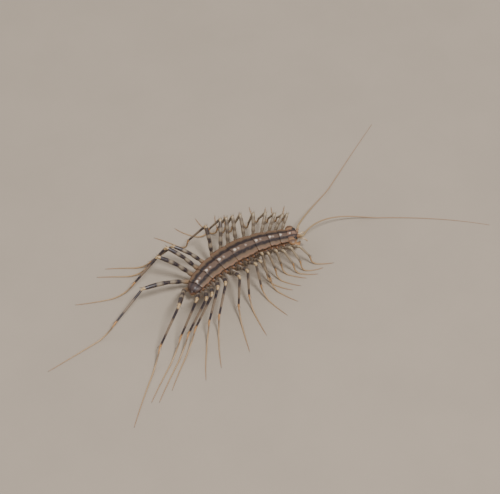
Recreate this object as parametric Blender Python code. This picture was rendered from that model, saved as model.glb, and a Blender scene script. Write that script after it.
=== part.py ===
"""House centipede, life size, standing still on the floor with its long legs spread.

Built in millimetres and written in metres, +Z up. +X is the mean heading and +Y the animal's left.
The body follows a curved line that is measured backwards from the front of the head.
"""
import math

import bmesh
import bpy
from mathutils import Matrix, Vector

METRES_PER_MM = 0.001
GAP = 0.3  # between nodes that touch on the animal
CENTRE_X = -3.42  # puts the middle of the whole footprint on the origin
CENTRE_Y = -6.077

# Body: name, length, half width, heading at mid length in degrees, numbers of the legs it carries
HEAD = ("head", 2.1, 1.5, -27.0, ())
TERGITES = (
    ("trunk_1", 1.9, 1.85, -24.0, (1,)),
    ("trunk_2", 2.3, 2.0, -21.0, (2, 3)),
    ("trunk_3", 3.1, 2.25, -17.0, (4, 5)),
    ("trunk_4", 5.3, 2.6, -6.0, (6, 7, 8)),
    ("trunk_5", 3.8, 2.6, 1.0, (9, 10)),
    ("trunk_6", 3.7, 2.3, 10.0, (11, 12)),
    ("trunk_7", 3.1, 2.0, 17.0, (13, 14)),
    ("trunk_8", 1.9, 1.5, 23.0, (15,)),
)
HEAD_FRONT = Vector((7.8, -6.0))  # on the floor plan, before centring
LINE_STEP = 0.05
CROWN = ((0.0, 4.6), (2.0, 4.9), (8.0, 5.15), (15.0, 5.3), (22.0, 5.1), (27.5, 4.5))
BELLY = ((0.0, 2.7), (8.0, 2.4), (20.0, 2.4), (27.5, 2.7))
PLATE_DROP = 0.5  # from the crown to the plate's edge
PLATE_EDGE = 0.32
PLATE_RISE = 0.22  # how far each plate's rear stands over the next one's front
SADDLE_RISE = 0.12
FLANK = 0.74  # of the plate's half width
# Half of a plate's section from the middle outwards: share of its half width, how far below the crown
PLATE_SECTION = ((0.34, 0.05), (0.60, 0.16), (0.84, 0.33))
PLATE_RIM = 0.98
# Outline of a plate from front to rear: share of its length, of its width, of the rise, of the saddle
PLATE_OUTLINE = (
    (0.0, 0.91, -0.75, 0.0),
    (0.10, 0.95, -0.6, 0.0),
    (0.40, 1.0, -0.1, 0.0),
    (0.72, 1.01, 0.35, 0.15),
    (0.88, 0.99, 0.6, 1.0),
    (0.96, 0.94, 0.7, 1.0),
    (1.0, 0.84, 0.5, 0.2),
)
LAST_OUTLINE = (
    (0.0, 0.98, -0.8, 0.0),
    (0.3, 0.97, -0.3, 0.0),
    (0.55, 0.88, 0.0, 0.2),
    (0.8, 0.66, -0.4, 0.3),
    (1.0, 0.40, -1.2, 0.0),
)

# Legs
LEG_COUNT = 15
COXA_Z = 3.0
COXA_LIFT = 12.0  # degrees that a coxa points above level
COXA_REACH = 0.88  # of the plate's half width
COXA_RADIUS = 0.36  # of the first pair, before the growth from pair to pair
COXA_GROWTH = 0.011
# Lengths of upper leg, tibia and tarsus: constant, growth with the pair's number, growth with its cube
LEG_LAW = ((3.9, 0.28, 0.0008), (3.4, 0.24, 0.00065), (6.0, 0.12, 0.003))
# Thickness of the upper leg: share of its length, share of the coxa's radius
UPPER_SHAPE = ((0.22, 0.96), (0.36, 0.80), (0.42, 0.84), (0.62, 0.92), (0.84, 0.80))
UPPER_BOW = 0.08  # how far the upper leg bows upwards, in its length
LEG_SIDES = 7
TIBIA_RADIUS = 0.27
TARSUS_RADIUS = 0.25
TIP_RADIUS = 0.11
FLOOR_CLAMP = 0.82  # height of a lying tarsus's axis, in radii
FLOOR_FLAT = 0.06  # what is nearer to the floor than this becomes a small flat on it
TARSUS_STEPS = 9
KNEE_ROUND = 0.42
KNEE_SPUR = 0.58  # length of the spur over the knee of the first pair, before the growth
SPUR_GROWTH = 0.024
SPUR_LEAN = 0.45  # how far a spur leans out from the leg's line
SPUR_RADIUS = 0.24
SPUR_TIP = 0.07
SPUR_SIDES = 5
# Pose of each leg, front to rear. Degrees from the heading, positive to the left:
# upper leg, tibia, tarsus where it starts, tarsus at its tip. Then the heights of knee and ankle.
LEFT_POSE = (
    (30, 78, 62, 40, 5.6, 2.4),
    (20, 88, 75, 58, 5.8, 2.6),
    (29, 95, 72, 48, 6.3, 2.7),
    (39, 99, 85, 64, 6.4, 2.5),
    (53, 105, 88, 62, 7.3, 2.8),
    (69, 130, 104, 48, 7.6, 2.9),
    (66, 113, 106, 52, 8.1, 3.1),
    (60, 109, 118, 80, 8.3, 3.1),
    (54, 108, 150, 104, 8.4, 3.1),
    (78, 132, 102, 122, 9.8, 4.0),
    (132, 146, 135, 148, 7.4, 2.4),
    (128, 157, 142, 144, 8.3, 2.7),
    (139, 170, 163, 150, 8.9, 3.3),
    (166, 190, 180, 179, 6.2, 2.7),
    (225, 197, 214, 220, 9.3, 2.9),
)
RIGHT_POSE = (
    (-70, -42, -50, -26, 5.5, 2.5),
    (-80, -66, -60, -12, 6.2, 3.0),
    (-92, -55, -62, -30, 6.4, 2.8),
    (-97, -50, -68, -44, 7.1, 2.8),
    (-104, -62, -80, -46, 7.4, 3.0),
    (-102, -80, -86, -48, 8.0, 3.0),
    (-95, -60, -84, -62, 7.6, 2.8),
    (-90, -94, -92, -77, 7.9, 2.6),
    (-98, -120, -108, -101, 8.0, 2.4),
    (-103, -132, -116, -113, 8.2, 2.6),
    (-119, -144, -132, -119, 8.6, 3.8),
    (-122, -149, -138, -124, 9.2, 3.8),
    (-123, -168, -152, -143, 9.4, 3.4),
    (-124, -173, -152, -146, 10.0, 3.2),
    (-130, -171, -154, -147, 11.2, 3.4),
)
# Legs that differ from the general lengths: side and number, then factors of upper leg, tibia and tarsus
LENGTH_CHANGES = {
    (1, 10): (1.0, 1.08, 1.0),
    (1, 11): (1.0, 1.0, 0.88),
    (1, 12): (1.0, 0.97, 0.86),
    (1, 13): (1.0, 1.0, 0.93),
    (1, 14): (1.07, 1.02, 1.05),
    (-1, 15): (1.0, 1.0, 0.84),
}

# Antennae: degrees from the heading against distance along them
ANTENNA_LENGTH = {1: 38.0, -1: 44.0}
ANTENNA_BEND = {
    1: ((0, 30), (3, 27), (8, 26), (14, 25), (38, 23)),
    -1: ((0, 30), (2, 20), (5, 7), (9, -9), (14, -25), (20, -36), (32, -42), (44, -50)),
}
ANTENNA_TOUCHES = {1: 17.0, -1: 20.0}  # distance along it where it meets the floor
ANTENNA_RADIUS = 0.26
ANTENNA_TIP = 0.12

MATERIALS = {
    "head": ((0.33, 0.16, 0.09), 0.45),
    "eye": ((0.02, 0.018, 0.02), 0.2),
    "antenna": ((0.60, 0.34, 0.17), 0.5),
    "forcipule": ((0.62, 0.33, 0.14), 0.4),
    "palp": ((0.74, 0.60, 0.44), 0.5),
    "trunk": ((0.20, 0.11, 0.08), 0.4),
    "leg": ((0.45, 0.34, 0.24), 0.5),
}


def between(knots, x):
    """The value at x of straight runs between knots."""
    if x <= knots[0][0]:
        return knots[0][1]
    for (x0, y0), (x1, y1) in zip(knots, knots[1:]):
        if x <= x1:
            return y0 + (y1 - y0) * (x - x0) / (x1 - x0)
    return knots[-1][1]


def spans():
    """Start along the body, and the row, of the head and each tergite."""
    start = 0.0
    for row in (HEAD, *TERGITES):
        yield start, row
        start += row[1]


SPANS = tuple(spans())
HEADINGS = tuple((start + row[1] / 2, row[3]) for start, row in SPANS)
WIDTHS = tuple((start + row[1] / 2, row[2]) for start, row in SPANS)
BODY_LENGTH = SPANS[-1][0] + SPANS[-1][1][1]


def body_line():
    """Floor-plan points of the body's line at every LINE_STEP, from the head's front."""
    point = HEAD_FRONT.copy()
    points = [point.copy()]
    for i in range(int(BODY_LENGTH / LINE_STEP) + 40):
        angle = math.radians(between(HEADINGS, (i + 0.5) * LINE_STEP))
        point -= Vector((math.cos(angle), math.sin(angle))) * LINE_STEP
        points.append(point.copy())
    return points


LINE = body_line()


def heading(s):
    return between(HEADINGS, s)


def at_body(s, y, z):
    """A point at distance s behind the head's front, y to the left of the body's line and z high."""
    angle = math.radians(heading(s))
    if s < 0:
        base = LINE[0] - Vector((math.cos(angle), math.sin(angle))) * s
    else:
        i = min(int(s / LINE_STEP), len(LINE) - 2)
        base = LINE[i].lerp(LINE[i + 1], s / LINE_STEP - i)
    return Vector((base.x - math.sin(angle) * y, base.y + math.cos(angle) * y, z))


def flat(degrees):
    angle = math.radians(degrees)
    return Vector((math.cos(angle), math.sin(angle), 0.0))


def mesh_object(name, points, faces):
    mesh = bpy.data.meshes.new(name)
    mesh.from_pydata([tuple(p) for p in points], [], faces)
    work = bmesh.new()
    work.from_mesh(mesh)
    bmesh.ops.recalc_face_normals(work, faces=work.faces)
    work.to_mesh(mesh)
    work.free()
    made = bpy.data.objects.new(name, mesh)
    bpy.context.scene.collection.objects.link(made)
    return made


def loft(name, rings):
    """A closed body through rings with the same number of points, with flat ends."""
    count = len(rings[0])
    points = [p for ring in rings for p in ring]
    faces = []
    for i in range(len(rings) - 1):
        for j in range(count):
            k = (j + 1) % count
            faces.append((i * count + j, i * count + k, (i + 1) * count + k, (i + 1) * count + j))
    last = (len(rings) - 1) * count
    faces.append(tuple(reversed(range(count))))
    faces.append(tuple(last + j for j in range(count)))
    return mesh_object(name, points, faces)


def tube(name, path, radii, sides, floor=False):
    """A round body along a path. With floor, what would reach below the floor is flattened on it."""
    tangents = []
    for i in range(len(path)):
        ahead = path[min(i + 1, len(path) - 1)] - path[i]
        behind = path[i] - path[max(i - 1, 0)]
        total = ahead.normalized() + behind.normalized() if ahead.length and behind.length else ahead + behind
        tangents.append(total.normalized())
    side = tangents[0].cross(Vector((0.0, 0.0, 1.0))).normalized()
    rings = []
    for point, tangent, radius in zip(path, tangents, radii):
        side = (side - tangent * side.dot(tangent)).normalized()
        up = side.cross(tangent)
        ring = []
        for j in range(sides):
            angle = math.tau * (j + 0.5) / sides
            corner = point + (side * math.cos(angle) + up * math.sin(angle)) * radius
            if floor and corner.z < FLOOR_FLAT:
                corner.z = 0.0
            ring.append(corner)
        rings.append(ring)
    return loft(name, rings)


def keep_largest(made):
    """Keeps only the largest closed surface."""
    work = bmesh.new()
    work.from_mesh(made.data)
    left = set(work.faces)
    shells = []
    while left:
        shell = {left.pop()}
        edge = list(shell)
        while edge:
            face = edge.pop()
            for near in (f for e in face.edges for f in e.link_faces):
                if near in left:
                    left.discard(near)
                    shell.add(near)
                    edge.append(near)
        shells.append(shell)
    best = max(shells, key=lambda shell: sum(f.calc_area() for f in shell))
    drop = [f for shell in shells if shell is not best for f in shell]
    bmesh.ops.delete(work, geom=drop, context="FACES")
    work.to_mesh(made.data)
    work.free()


def fuse(base, extras):
    """One Boolean union of closed bodies."""
    if extras:
        group = bpy.data.collections.new("extras")
        bpy.context.scene.collection.children.link(group)
        for extra in extras:
            bpy.context.scene.collection.objects.unlink(extra)
            group.objects.link(extra)
        union = base.modifiers.new("union", "BOOLEAN")
        union.operation = "UNION"
        union.operand_type = "COLLECTION"
        union.collection = group
        union.solver = "EXACT"
        shape = base.evaluated_get(bpy.context.evaluated_depsgraph_get())
        fused = bpy.data.meshes.new_from_object(shape)
        base.modifiers.clear()
        base.data = fused
        for extra in extras:
            bpy.data.objects.remove(extra)
        bpy.data.collections.remove(group)
    keep_largest(base)
    return base


def clip(made, point, outward):
    """Cuts off what lies beyond a plane and closes the cut with a flat face."""
    work = bmesh.new()
    work.from_mesh(made.data)
    geom = list(work.verts) + list(work.edges) + list(work.faces)
    cut = bmesh.ops.bisect_plane(work, geom=geom, plane_co=point, plane_no=outward, clear_outer=True)
    rim = [e for e in cut["geom_cut"] if isinstance(e, bmesh.types.BMEdge)]
    bmesh.ops.contextual_create(work, geom=rim)
    bmesh.ops.recalc_face_normals(work, faces=work.faces)
    work.to_mesh(made.data)
    work.free()


def paint(made, look):
    colour, roughness = MATERIALS[look]
    material = bpy.data.materials.get(look)
    if material is None:
        material = bpy.data.materials.new(look)
        material.use_nodes = True
        shader = material.node_tree.nodes["Principled BSDF"]
        shader.inputs["Base Color"].default_value = (*colour, 1.0)
        shader.inputs["Roughness"].default_value = roughness
        shader.inputs["Metallic"].default_value = 0.0
    made.data.materials.clear()
    made.data.materials.append(material)


def finish(made, look):
    """Centres the node, takes it to metres and gives it its material."""
    move = Matrix.Translation(Vector((-CENTRE_X, -CENTRE_Y, 0.0)))
    made.data.transform(Matrix.Scale(METRES_PER_MM, 4) @ move)
    made.data.update()
    paint(made, look)


# Trunk


def trunk_ring(s, half, lift, saddle):
    """Section of the trunk: a shallow arched plate over narrower flanks and belly."""
    crown = between(CROWN, s) + lift
    edge = between(CROWN, s) + lift - PLATE_DROP
    belly = between(BELLY, s)
    flank = half * FLANK
    middle = (edge + belly) / 2
    left = (
        (0.12 * half, crown + saddle * 0.7),
        *((share * half, crown - below) for share, below in PLATE_SECTION),
        (PLATE_RIM * half, edge + 0.03),
        (PLATE_RIM * half, edge - PLATE_EDGE + 0.05),
        (flank + 0.08, edge - PLATE_EDGE - 0.05),
        (flank, middle),
        (0.80 * flank, belly + 0.30),
        (0.45 * flank, belly),
    )
    profile = [(0.0, crown + saddle), *left, (0.0, belly)]
    profile += [(-y, z) for y, z in reversed(left)]
    return [at_body(s, y, z) for y, z in profile]


def coxa_place(n, side):
    """Centre of the flat end of a coxa, the way it points, and its radius."""
    start, row = next((start, row) for start, row in SPANS if n in row[4])
    s = start + row[1] * (row[4].index(n) + 0.5) / len(row[4])
    half = between(WIDTHS, s)
    pose = (LEFT_POSE if side > 0 else RIGHT_POSE)[n - 1]
    outward = heading(s) + 90 * side
    turn = (pose[0] - outward + 180) % 360 - 180
    level = flat(outward + 0.45 * turn)
    lift = math.radians(COXA_LIFT)
    way = (level * math.cos(lift) + Vector((0.0, 0.0, math.sin(lift)))).normalized()
    return at_body(s, side * half * COXA_REACH, COXA_Z), way, COXA_RADIUS + COXA_GROWTH * n


def trunk(start, row):
    name, length, half, _, legs = row
    first = start + GAP / 2
    long = length - GAP
    rings = []
    for along, wide, lift, saddle in LAST_OUTLINE if row is TERGITES[-1] else PLATE_OUTLINE:
        s = first + long * along
        width = (0.35 * half + 0.65 * between(WIDTHS, s)) * wide
        rings.append(trunk_ring(s, width, PLATE_RISE * lift, SADDLE_RISE * saddle))
    made = loft(name, rings)
    bosses = []
    for n in legs:
        for side in (1, -1):
            end, way, radius = coxa_place(n, side)
            root = end - way * (1.35 * half * (COXA_REACH - FLANK) + 0.75)
            path = [root, end - way * 0.35, end]
            bosses.append(tube("boss", path, [radius * 1.15, radius * 1.1, radius], 8))
    fuse(made, bosses)
    finish(made, "trunk")


# Legs


def leg_lengths(n, side):
    """Lengths of upper leg, tibia and tarsus, which grow faster towards the rear."""
    changes = LENGTH_CHANGES.get((side, n), (1.0, 1.0, 1.0))
    general = [first + steady * n + late * n**3 for first, steady, late in LEG_LAW]
    return [length * change for length, change in zip(general, changes)]


def reach(length, height):
    """How far a straight length gets over the floor while it rises or falls by height."""
    return math.sqrt(max(length**2 - height**2, (0.25 * length) ** 2))


def leg_path(n, side):
    """Axis points and radii of a leg from its coxa to its tip, the knee, and the way its spur points."""
    upper, tibia, tarsus = leg_lengths(n, side)
    up_way, shin_way, foot_way, tip_way, knee_z, ankle_z = (LEFT_POSE if side > 0 else RIGHT_POSE)[n - 1]
    end, way, radius = coxa_place(n, side)
    start = end + way * GAP
    rise = knee_z - start.z
    knee = start + flat(up_way) * reach(upper, rise) + Vector((0.0, 0.0, rise))
    drop = knee_z - ankle_z
    ankle = knee + flat(shin_way) * reach(tibia, drop) - Vector((0.0, 0.0, drop))
    bow = Vector((0.0, 0.0, UPPER_BOW * upper))
    path = [start, start + way * 0.3]
    radii = [radius, radius]
    for along, thick in UPPER_SHAPE:
        path.append(start.lerp(knee, along) + bow * math.sin(math.pi * along))
        radii.append(radius * thick)
    shin = (ankle - knee).normalized()
    thigh = (knee - path[-1]).normalized()
    over = thigh.cross(Vector((0.0, 0.0, 1.0))).cross(thigh).normalized()
    spur_way = (thigh + over * SPUR_LEAN).normalized()
    path += [knee - thigh * KNEE_ROUND, knee, knee + shin * KNEE_ROUND]
    radii += [radius * 0.72, radius * 0.78, TIBIA_RADIUS * 1.12]
    path += [knee.lerp(ankle, 0.5), ankle - shin * 0.3, ankle]
    radii += [TIBIA_RADIUS * 1.04, TIBIA_RADIUS, TARSUS_RADIUS * 1.08]
    low = TARSUS_RADIUS * FLOOR_CLAMP
    landing = min(0.5, 1.75 * (ankle_z - low) / tarsus + 0.06)
    point = ankle.copy()
    for i in range(1, TARSUS_STEPS + 1):
        along = i / TARSUS_STEPS
        radius = TARSUS_RADIUS + (TIP_RADIUS - TARSUS_RADIUS) * max(0.0, along - 0.6) / 0.4
        ground = radius * FLOOR_CLAMP
        z = ground
        if along < landing:
            z = low + (ankle_z - low) * (1 - along / landing) ** 1.7
        step = tarsus / TARSUS_STEPS
        fall = point.z - z
        angle = foot_way + (tip_way - foot_way) * (along - 0.5 / TARSUS_STEPS)
        point = point + flat(angle) * reach(step, fall)
        point.z = z
        path.append(point)
        radii.append(radius)
    return path, radii, knee, spur_way


def leg(n, side):
    path, radii, knee, spur_way = leg_path(n, side)
    made = tube(f"leg_{'left' if side > 0 else 'right'}_{n:02d}", path, radii, LEG_SIDES, floor=True)
    spur = [knee - spur_way * 0.2, knee + spur_way * (KNEE_SPUR + SPUR_GROWTH * n)]
    fuse(made, [tube("spur", spur, [SPUR_RADIUS, SPUR_TIP], SPUR_SIDES)])
    finish(made, "leg")


# Head and its parts

HEAD_RINGS = (  # share of the length from the front, half width, top, bottom
    (0.0, 0.55, 4.6, 3.75),
    (0.07, 0.92, 4.78, 3.4),
    (0.22, 1.24, 4.95, 3.1),
    (0.45, 1.46, 5.05, 2.9),
    (0.72, 1.5, 5.08, 2.8),
    (1.0, 1.38, 5.0, 2.8),
)
HEAD_POINTS = 20
EYE_PLACE = (0.75, 1.18, 4.55)  # behind the head's front, to the side, height
EYE_HALF = (0.44, 0.36, 0.4)
EYE_CUT = 0.08  # from the eye's centre back to its flat base
EYE_WAY = (0.28, 0.88, 0.38)  # forwards, sideways, up
ANTENNA_ROOT = (0.05, 0.66, 4.5)
ANTENNA_WAY = {1: (0.4, 0.75, 0.5), -1: (0.8, 0.4, 0.5)}  # forwards, outwards, up
ANTENNA_BOSS = 0.5
ANTENNA_COLLAR = (0.34, 0.32)  # radii of its thick first joint
FORCIPULE_ROOT = (1.5, 1.12, 3.05)
FORCIPULE_ROUTE = (
    (0.80, 1.68, 2.98),
    (0.4, 1.62, 2.95),
    (0.05, 1.4, 2.88),
    (-0.25, 0.98, 2.75),
    (-0.45, 0.48, 2.62),
)
FORCIPULE_RADII = (0.46, 0.48, 0.5, 0.47, 0.4, 0.27, 0.09)
CHEEK_ROUTE = ((1.52, 0.8, 4.1), (1.52, 1.3, 4.2), (1.52, 1.85, 4.26), (1.54, 2.2, 4.28))
CHEEK_RADII = (0.42, 0.42, 0.4, 0.24)
CHEEK_SIDES = 12
PALP_ROOT = (0.1, 0.34, 3.78)
PALP_ROUTE = ((-1.1, 0.78, 3.6), (-1.6, 1.0, 3.3), (-1.85, 1.1, 2.85))
PALP_RADII = (0.28, 0.27, 0.26, 0.24, 0.12)


def body_way(s, forwards, sideways, up):
    """A direction given along the body at s."""
    ahead = flat(heading(s))
    left = flat(heading(s) + 90)
    return (ahead * forwards + left * sideways + Vector((0.0, 0.0, up))).normalized()


def head_ring(s, half, top, bottom):
    middle = (top + bottom) / 2
    tall = (top - bottom) / 2
    ring = []
    for i in range(HEAD_POINTS):
        angle = math.tau * i / HEAD_POINTS
        y = math.copysign(abs(math.sin(angle)) ** 0.85, math.sin(angle)) * half
        z = math.copysign(abs(math.cos(angle)) ** 0.85, math.cos(angle)) * tall
        ring.append(at_body(s, y, middle + z))
    return ring


def antenna_place(side):
    s, y, z = ANTENNA_ROOT
    forwards, outwards, up = ANTENNA_WAY[side]
    way = body_way(s, forwards, outwards * side, up)
    return at_body(s, y * side, z) + way * ANTENNA_BOSS, way


def forcipule_place(side):
    s, y, z = FORCIPULE_ROOT
    way = body_way(s, 0.6, 0.75 * side, -0.1)
    return at_body(s, y * side, z) + way * 0.35, way


def palp_place(side):
    s, y, z = PALP_ROOT
    way = body_way(s, 0.93, 0.3 * side, -0.2)
    return at_body(s, y * side, z) + way * 0.4, way


def eye_place(side):
    s, y, z = EYE_PLACE
    return at_body(s, y * side, z), body_way(s, EYE_WAY[0], EYE_WAY[1] * side, EYE_WAY[2])


def head():
    name, length, _, _, _ = HEAD
    long = length - GAP / 2
    rings = [head_ring(long * along, half, top, bottom) for along, half, top, bottom in HEAD_RINGS]
    made = loft(name, rings)
    bosses = []
    for side in (1, -1):
        centre, way = eye_place(side)
        clip(made, centre - way * (EYE_CUT + GAP), way)
        cheek = [at_body(s, y * side, z) for s, y, z in CHEEK_ROUTE]
        bosses.append(tube("boss", cheek, CHEEK_RADII, CHEEK_SIDES))
        for (end, away), radius, depth in (
            (antenna_place(side), ANTENNA_COLLAR[0], 1.0),
            (forcipule_place(side), FORCIPULE_RADII[0], 0.6),
            (palp_place(side), PALP_RADII[0], 1.0),
        ):
            path = [end - away * depth, end]
            bosses.append(tube("boss", path, [radius * 1.1, radius], 8))
    fuse(made, bosses)
    finish(made, "head")


def eye(side):
    """Half an ellipsoid on a flat base that faces the head's flat."""
    centre, way = eye_place(side)
    s = EYE_PLACE[0]
    ahead = body_way(s, 1.0, 0.0, 0.0)
    ahead = (ahead - way * ahead.dot(way)).normalized()
    up = way.cross(ahead)
    rings = []
    for i in range(6):
        lean = math.radians(8 + 16.0 * i) - math.asin(EYE_CUT / EYE_HALF[1])
        lean = min(lean, math.radians(84))
        out = way * (EYE_HALF[1] * math.sin(lean))
        if i == 0:
            out = -way * EYE_CUT
        ring = []
        for j in range(14):
            angle = math.tau * j / 14
            across = ahead * (EYE_HALF[0] * math.cos(angle)) + up * (EYE_HALF[2] * math.sin(angle))
            ring.append(centre + out + across * math.cos(lean))
        rings.append(ring)
    made = loft("eye_left" if side > 0 else "eye_right", rings)
    fuse(made, [])
    finish(made, "eye")


def antenna(side):
    end, way = antenna_place(side)
    length = ANTENNA_LENGTH[side]
    touches = ANTENNA_TOUCHES[side]
    start = end + way * GAP
    path = [start, start + way * 0.5]
    radii = list(ANTENNA_COLLAR)
    point = path[-1].copy()
    high = point.z
    low = ANTENNA_RADIUS * FLOOR_CLAMP
    count = 26
    for i in range(1, count + 1):
        done = (length - 0.5) * (i / count)
        step = (length - 0.5) / count
        radius = ANTENNA_RADIUS + (ANTENNA_TIP - ANTENNA_RADIUS) * max(0.0, i / count - 0.5) / 0.5
        z = radius * FLOOR_CLAMP
        if done < touches:
            share = done / touches
            z = low + (high - low) * (1 - share) ** 1.5 * (1 + 0.9 * share)
        fall = point.z - z
        point = point + flat(between(ANTENNA_BEND[side], done - step / 2)) * reach(step, fall)
        point.z = z
        path.append(point)
        radii.append(radius)
    made = tube("antenna_left" if side > 0 else "antenna_right", path, radii, 6, floor=True)
    fuse(made, [])
    finish(made, "antenna")


def forcipule(side):
    """Poison claw: out from under the head, forwards beside it and in to a point before the mouth."""
    end, way = forcipule_place(side)
    start = end + way * GAP
    path = [start, start + way * 0.12] + [at_body(s, y * side, z) for s, y, z in FORCIPULE_ROUTE]
    made = tube("forcipule_left" if side > 0 else "forcipule_right", path, FORCIPULE_RADII, 8)
    fuse(made, [])
    finish(made, "forcipule")


def palp(side):
    end, way = palp_place(side)
    start = end + way * GAP
    path = [start, start + way * 0.2] + [at_body(s, y * side, z) for s, y, z in PALP_ROUTE]
    made = tube("palp_left" if side > 0 else "palp_right", path, PALP_RADII, 7)
    fuse(made, [])
    finish(made, "palp")


def main():
    for old in list(bpy.data.objects):
        bpy.data.objects.remove(old, do_unlink=True)
    head()
    for start, row in SPANS[1:]:
        trunk(start, row)
    for side in (1, -1):
        eye(side)
        antenna(side)
        forcipule(side)
        palp(side)
        for n in range(1, LEG_COUNT + 1):
            leg(n, side)


main()
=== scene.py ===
"""House centipede, life size, standing still on a pale floor.

The forms repeat the named sizes of the solids. Sizes are in millimetres, and the meshes are in metres.
"""

import math

import bmesh
import bpy
import numpy as np
from bpy.props import FloatProperty, FloatVectorProperty, PointerProperty
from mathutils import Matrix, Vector


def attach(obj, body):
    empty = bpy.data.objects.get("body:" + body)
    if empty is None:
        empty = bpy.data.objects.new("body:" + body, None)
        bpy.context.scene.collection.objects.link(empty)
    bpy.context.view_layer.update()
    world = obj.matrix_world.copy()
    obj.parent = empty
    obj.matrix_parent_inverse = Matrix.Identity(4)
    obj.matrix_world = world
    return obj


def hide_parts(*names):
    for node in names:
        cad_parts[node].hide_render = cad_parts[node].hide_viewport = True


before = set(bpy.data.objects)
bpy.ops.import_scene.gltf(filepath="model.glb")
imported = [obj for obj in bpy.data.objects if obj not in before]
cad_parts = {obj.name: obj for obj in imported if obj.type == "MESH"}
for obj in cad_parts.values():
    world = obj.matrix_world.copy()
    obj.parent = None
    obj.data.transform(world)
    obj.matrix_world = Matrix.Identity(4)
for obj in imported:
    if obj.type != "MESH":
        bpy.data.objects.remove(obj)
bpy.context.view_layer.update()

bl_info = {
    "name": "House centipede",
    "version": (1, 0, 0),
    "blender": (4, 5, 0),
    "location": "View3D > Sidebar > Centipede",
    "description": "Builds a house centipede over its solids, piece by piece",
    "category": "Object",
}

SEED = 15
METRES_PER_MM = 0.001
CENTRE = np.array([-3.42, -6.077, 0.0])
UP = np.array([0.0, 0.0, 1.0])
SIDES = ((1, "left"), (-1, "right"))

# Body: name, length, half width, heading at mid length in degrees, numbers of the legs it carries
HEAD = ("head", 2.1, 1.5, -27.0, ())
TERGITES = (
    ("trunk_1", 1.9, 1.85, -24.0, (1,)),
    ("trunk_2", 2.3, 2.0, -21.0, (2, 3)),
    ("trunk_3", 3.1, 2.25, -17.0, (4, 5)),
    ("trunk_4", 5.3, 2.6, -6.0, (6, 7, 8)),
    ("trunk_5", 3.8, 2.6, 1.0, (9, 10)),
    ("trunk_6", 3.7, 2.3, 10.0, (11, 12)),
    ("trunk_7", 3.1, 2.0, 17.0, (13, 14)),
    ("trunk_8", 1.9, 1.5, 23.0, (15,)),
)
HEAD_FRONT = np.array([7.8, -6.0])
LINE_STEP = 0.05
# Nothing stands lower than this over the floor
LEAST_HEIGHT = 0.003
CROWN = ((0.0, 4.6), (2.0, 4.9), (8.0, 5.15), (15.0, 5.3), (22.0, 5.1), (27.5, 4.5))
BELLY = ((0.0, 2.7), (8.0, 2.4), (20.0, 2.4), (27.5, 2.7))
PLATE_DROP = 0.5
PLATE_RISE = 0.22
PLATE_COLUMNS = 49
SADDLE_RISE = 0.13
SLIT_DEPTH = 0.07
FLANK = 0.74
SKIN_STEP = 0.12
SKIN_SIDES = 28
# Stretch over which the skin narrows towards the tail, and where its neck ends
SKIN_TAIL = 1.9
SKIN_NECK = 2.5
# Rings of the skin round a leg's root and round the tail: distance along the way, and factor or radius
COXA_AHEAD = (-1.1, -0.7, -0.35, -0.1, 0.12)
COXA_SHAPE = np.array([1.2, 1.2, 1.16, 1.08, 0.82])
TAIL_AHEAD = (-0.6, 0.0, 0.35, 0.6)
TAIL_RADII = (0.55, 0.5, 0.36, 0.16)
ROOT_SIDES = 12
BELLY_ROWS = 9
BELLY_THICKNESS = 0.14

# Legs
LEG_COUNT = 15
COXA_Z = 3.0
COXA_LIFT = 12.0
COXA_REACH = 0.88
COXA_GAP = 0.3
# Pose of each leg, front to rear. Degrees from the heading, positive to the left:
# upper leg, tibia, tarsus where it starts, tarsus at its tip. Then the heights of knee and ankle.
LEFT_POSE = (
    (30, 78, 62, 40, 5.6, 2.4),
    (20, 88, 75, 58, 5.8, 2.6),
    (29, 95, 72, 48, 6.3, 2.7),
    (39, 99, 85, 64, 6.4, 2.5),
    (53, 105, 88, 62, 7.3, 2.8),
    (69, 130, 104, 48, 7.6, 2.9),
    (66, 113, 106, 52, 8.1, 3.1),
    (60, 109, 118, 80, 8.3, 3.1),
    (54, 108, 150, 104, 8.4, 3.1),
    (78, 132, 102, 122, 9.8, 4.0),
    (132, 146, 135, 148, 7.4, 2.4),
    (128, 157, 142, 144, 8.3, 2.7),
    (139, 170, 163, 150, 8.9, 3.3),
    (166, 190, 180, 179, 6.2, 2.7),
    (225, 197, 214, 220, 9.3, 2.9),
)
RIGHT_POSE = (
    (-70, -42, -50, -26, 5.5, 2.5),
    (-80, -66, -60, -12, 6.2, 3.0),
    (-92, -55, -62, -30, 6.4, 2.8),
    (-97, -50, -68, -44, 7.1, 2.8),
    (-104, -62, -80, -46, 7.4, 3.0),
    (-102, -80, -86, -48, 8.0, 3.0),
    (-95, -60, -84, -62, 7.6, 2.8),
    (-90, -94, -92, -77, 7.9, 2.6),
    (-98, -120, -108, -101, 8.0, 2.4),
    (-103, -132, -116, -113, 8.2, 2.6),
    (-119, -144, -132, -119, 8.6, 3.8),
    (-122, -149, -138, -124, 9.2, 3.8),
    (-123, -168, -152, -143, 9.4, 3.4),
    (-124, -173, -152, -146, 10.0, 3.2),
    (-130, -171, -154, -147, 11.2, 3.4),
)
POSES = {1: LEFT_POSE, -1: RIGHT_POSE}
# Legs that differ from the general lengths: side and number, then factors of upper leg, tibia and tarsus
LENGTH_CHANGES = {
    (1, 10): (1.0, 1.08, 1.0),
    (1, 11): (1.0, 1.0, 0.88),
    (1, 12): (1.0, 0.97, 0.86),
    (1, 13): (1.0, 1.0, 0.93),
    (1, 14): (1.07, 1.02, 1.05),
    (-1, 15): (1.0, 1.0, 0.84),
}
# How dark the bands are, by the leg's number: faint in front and bold at the rear
# The near right legs turn bold about two legs sooner than the far left ones: that difference is painted shade on
# their undersides.
BOLDNESS_AND_NEAR_SHADE = {
    1: ((1, 0.0), (5, 0.1), (8, 0.45), (10, 0.9), (12, 1.0)),
    -1: ((1, 0.0), (3, 0.15), (6, 0.5), (9, 0.85), (11, 1.0)),
}
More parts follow.
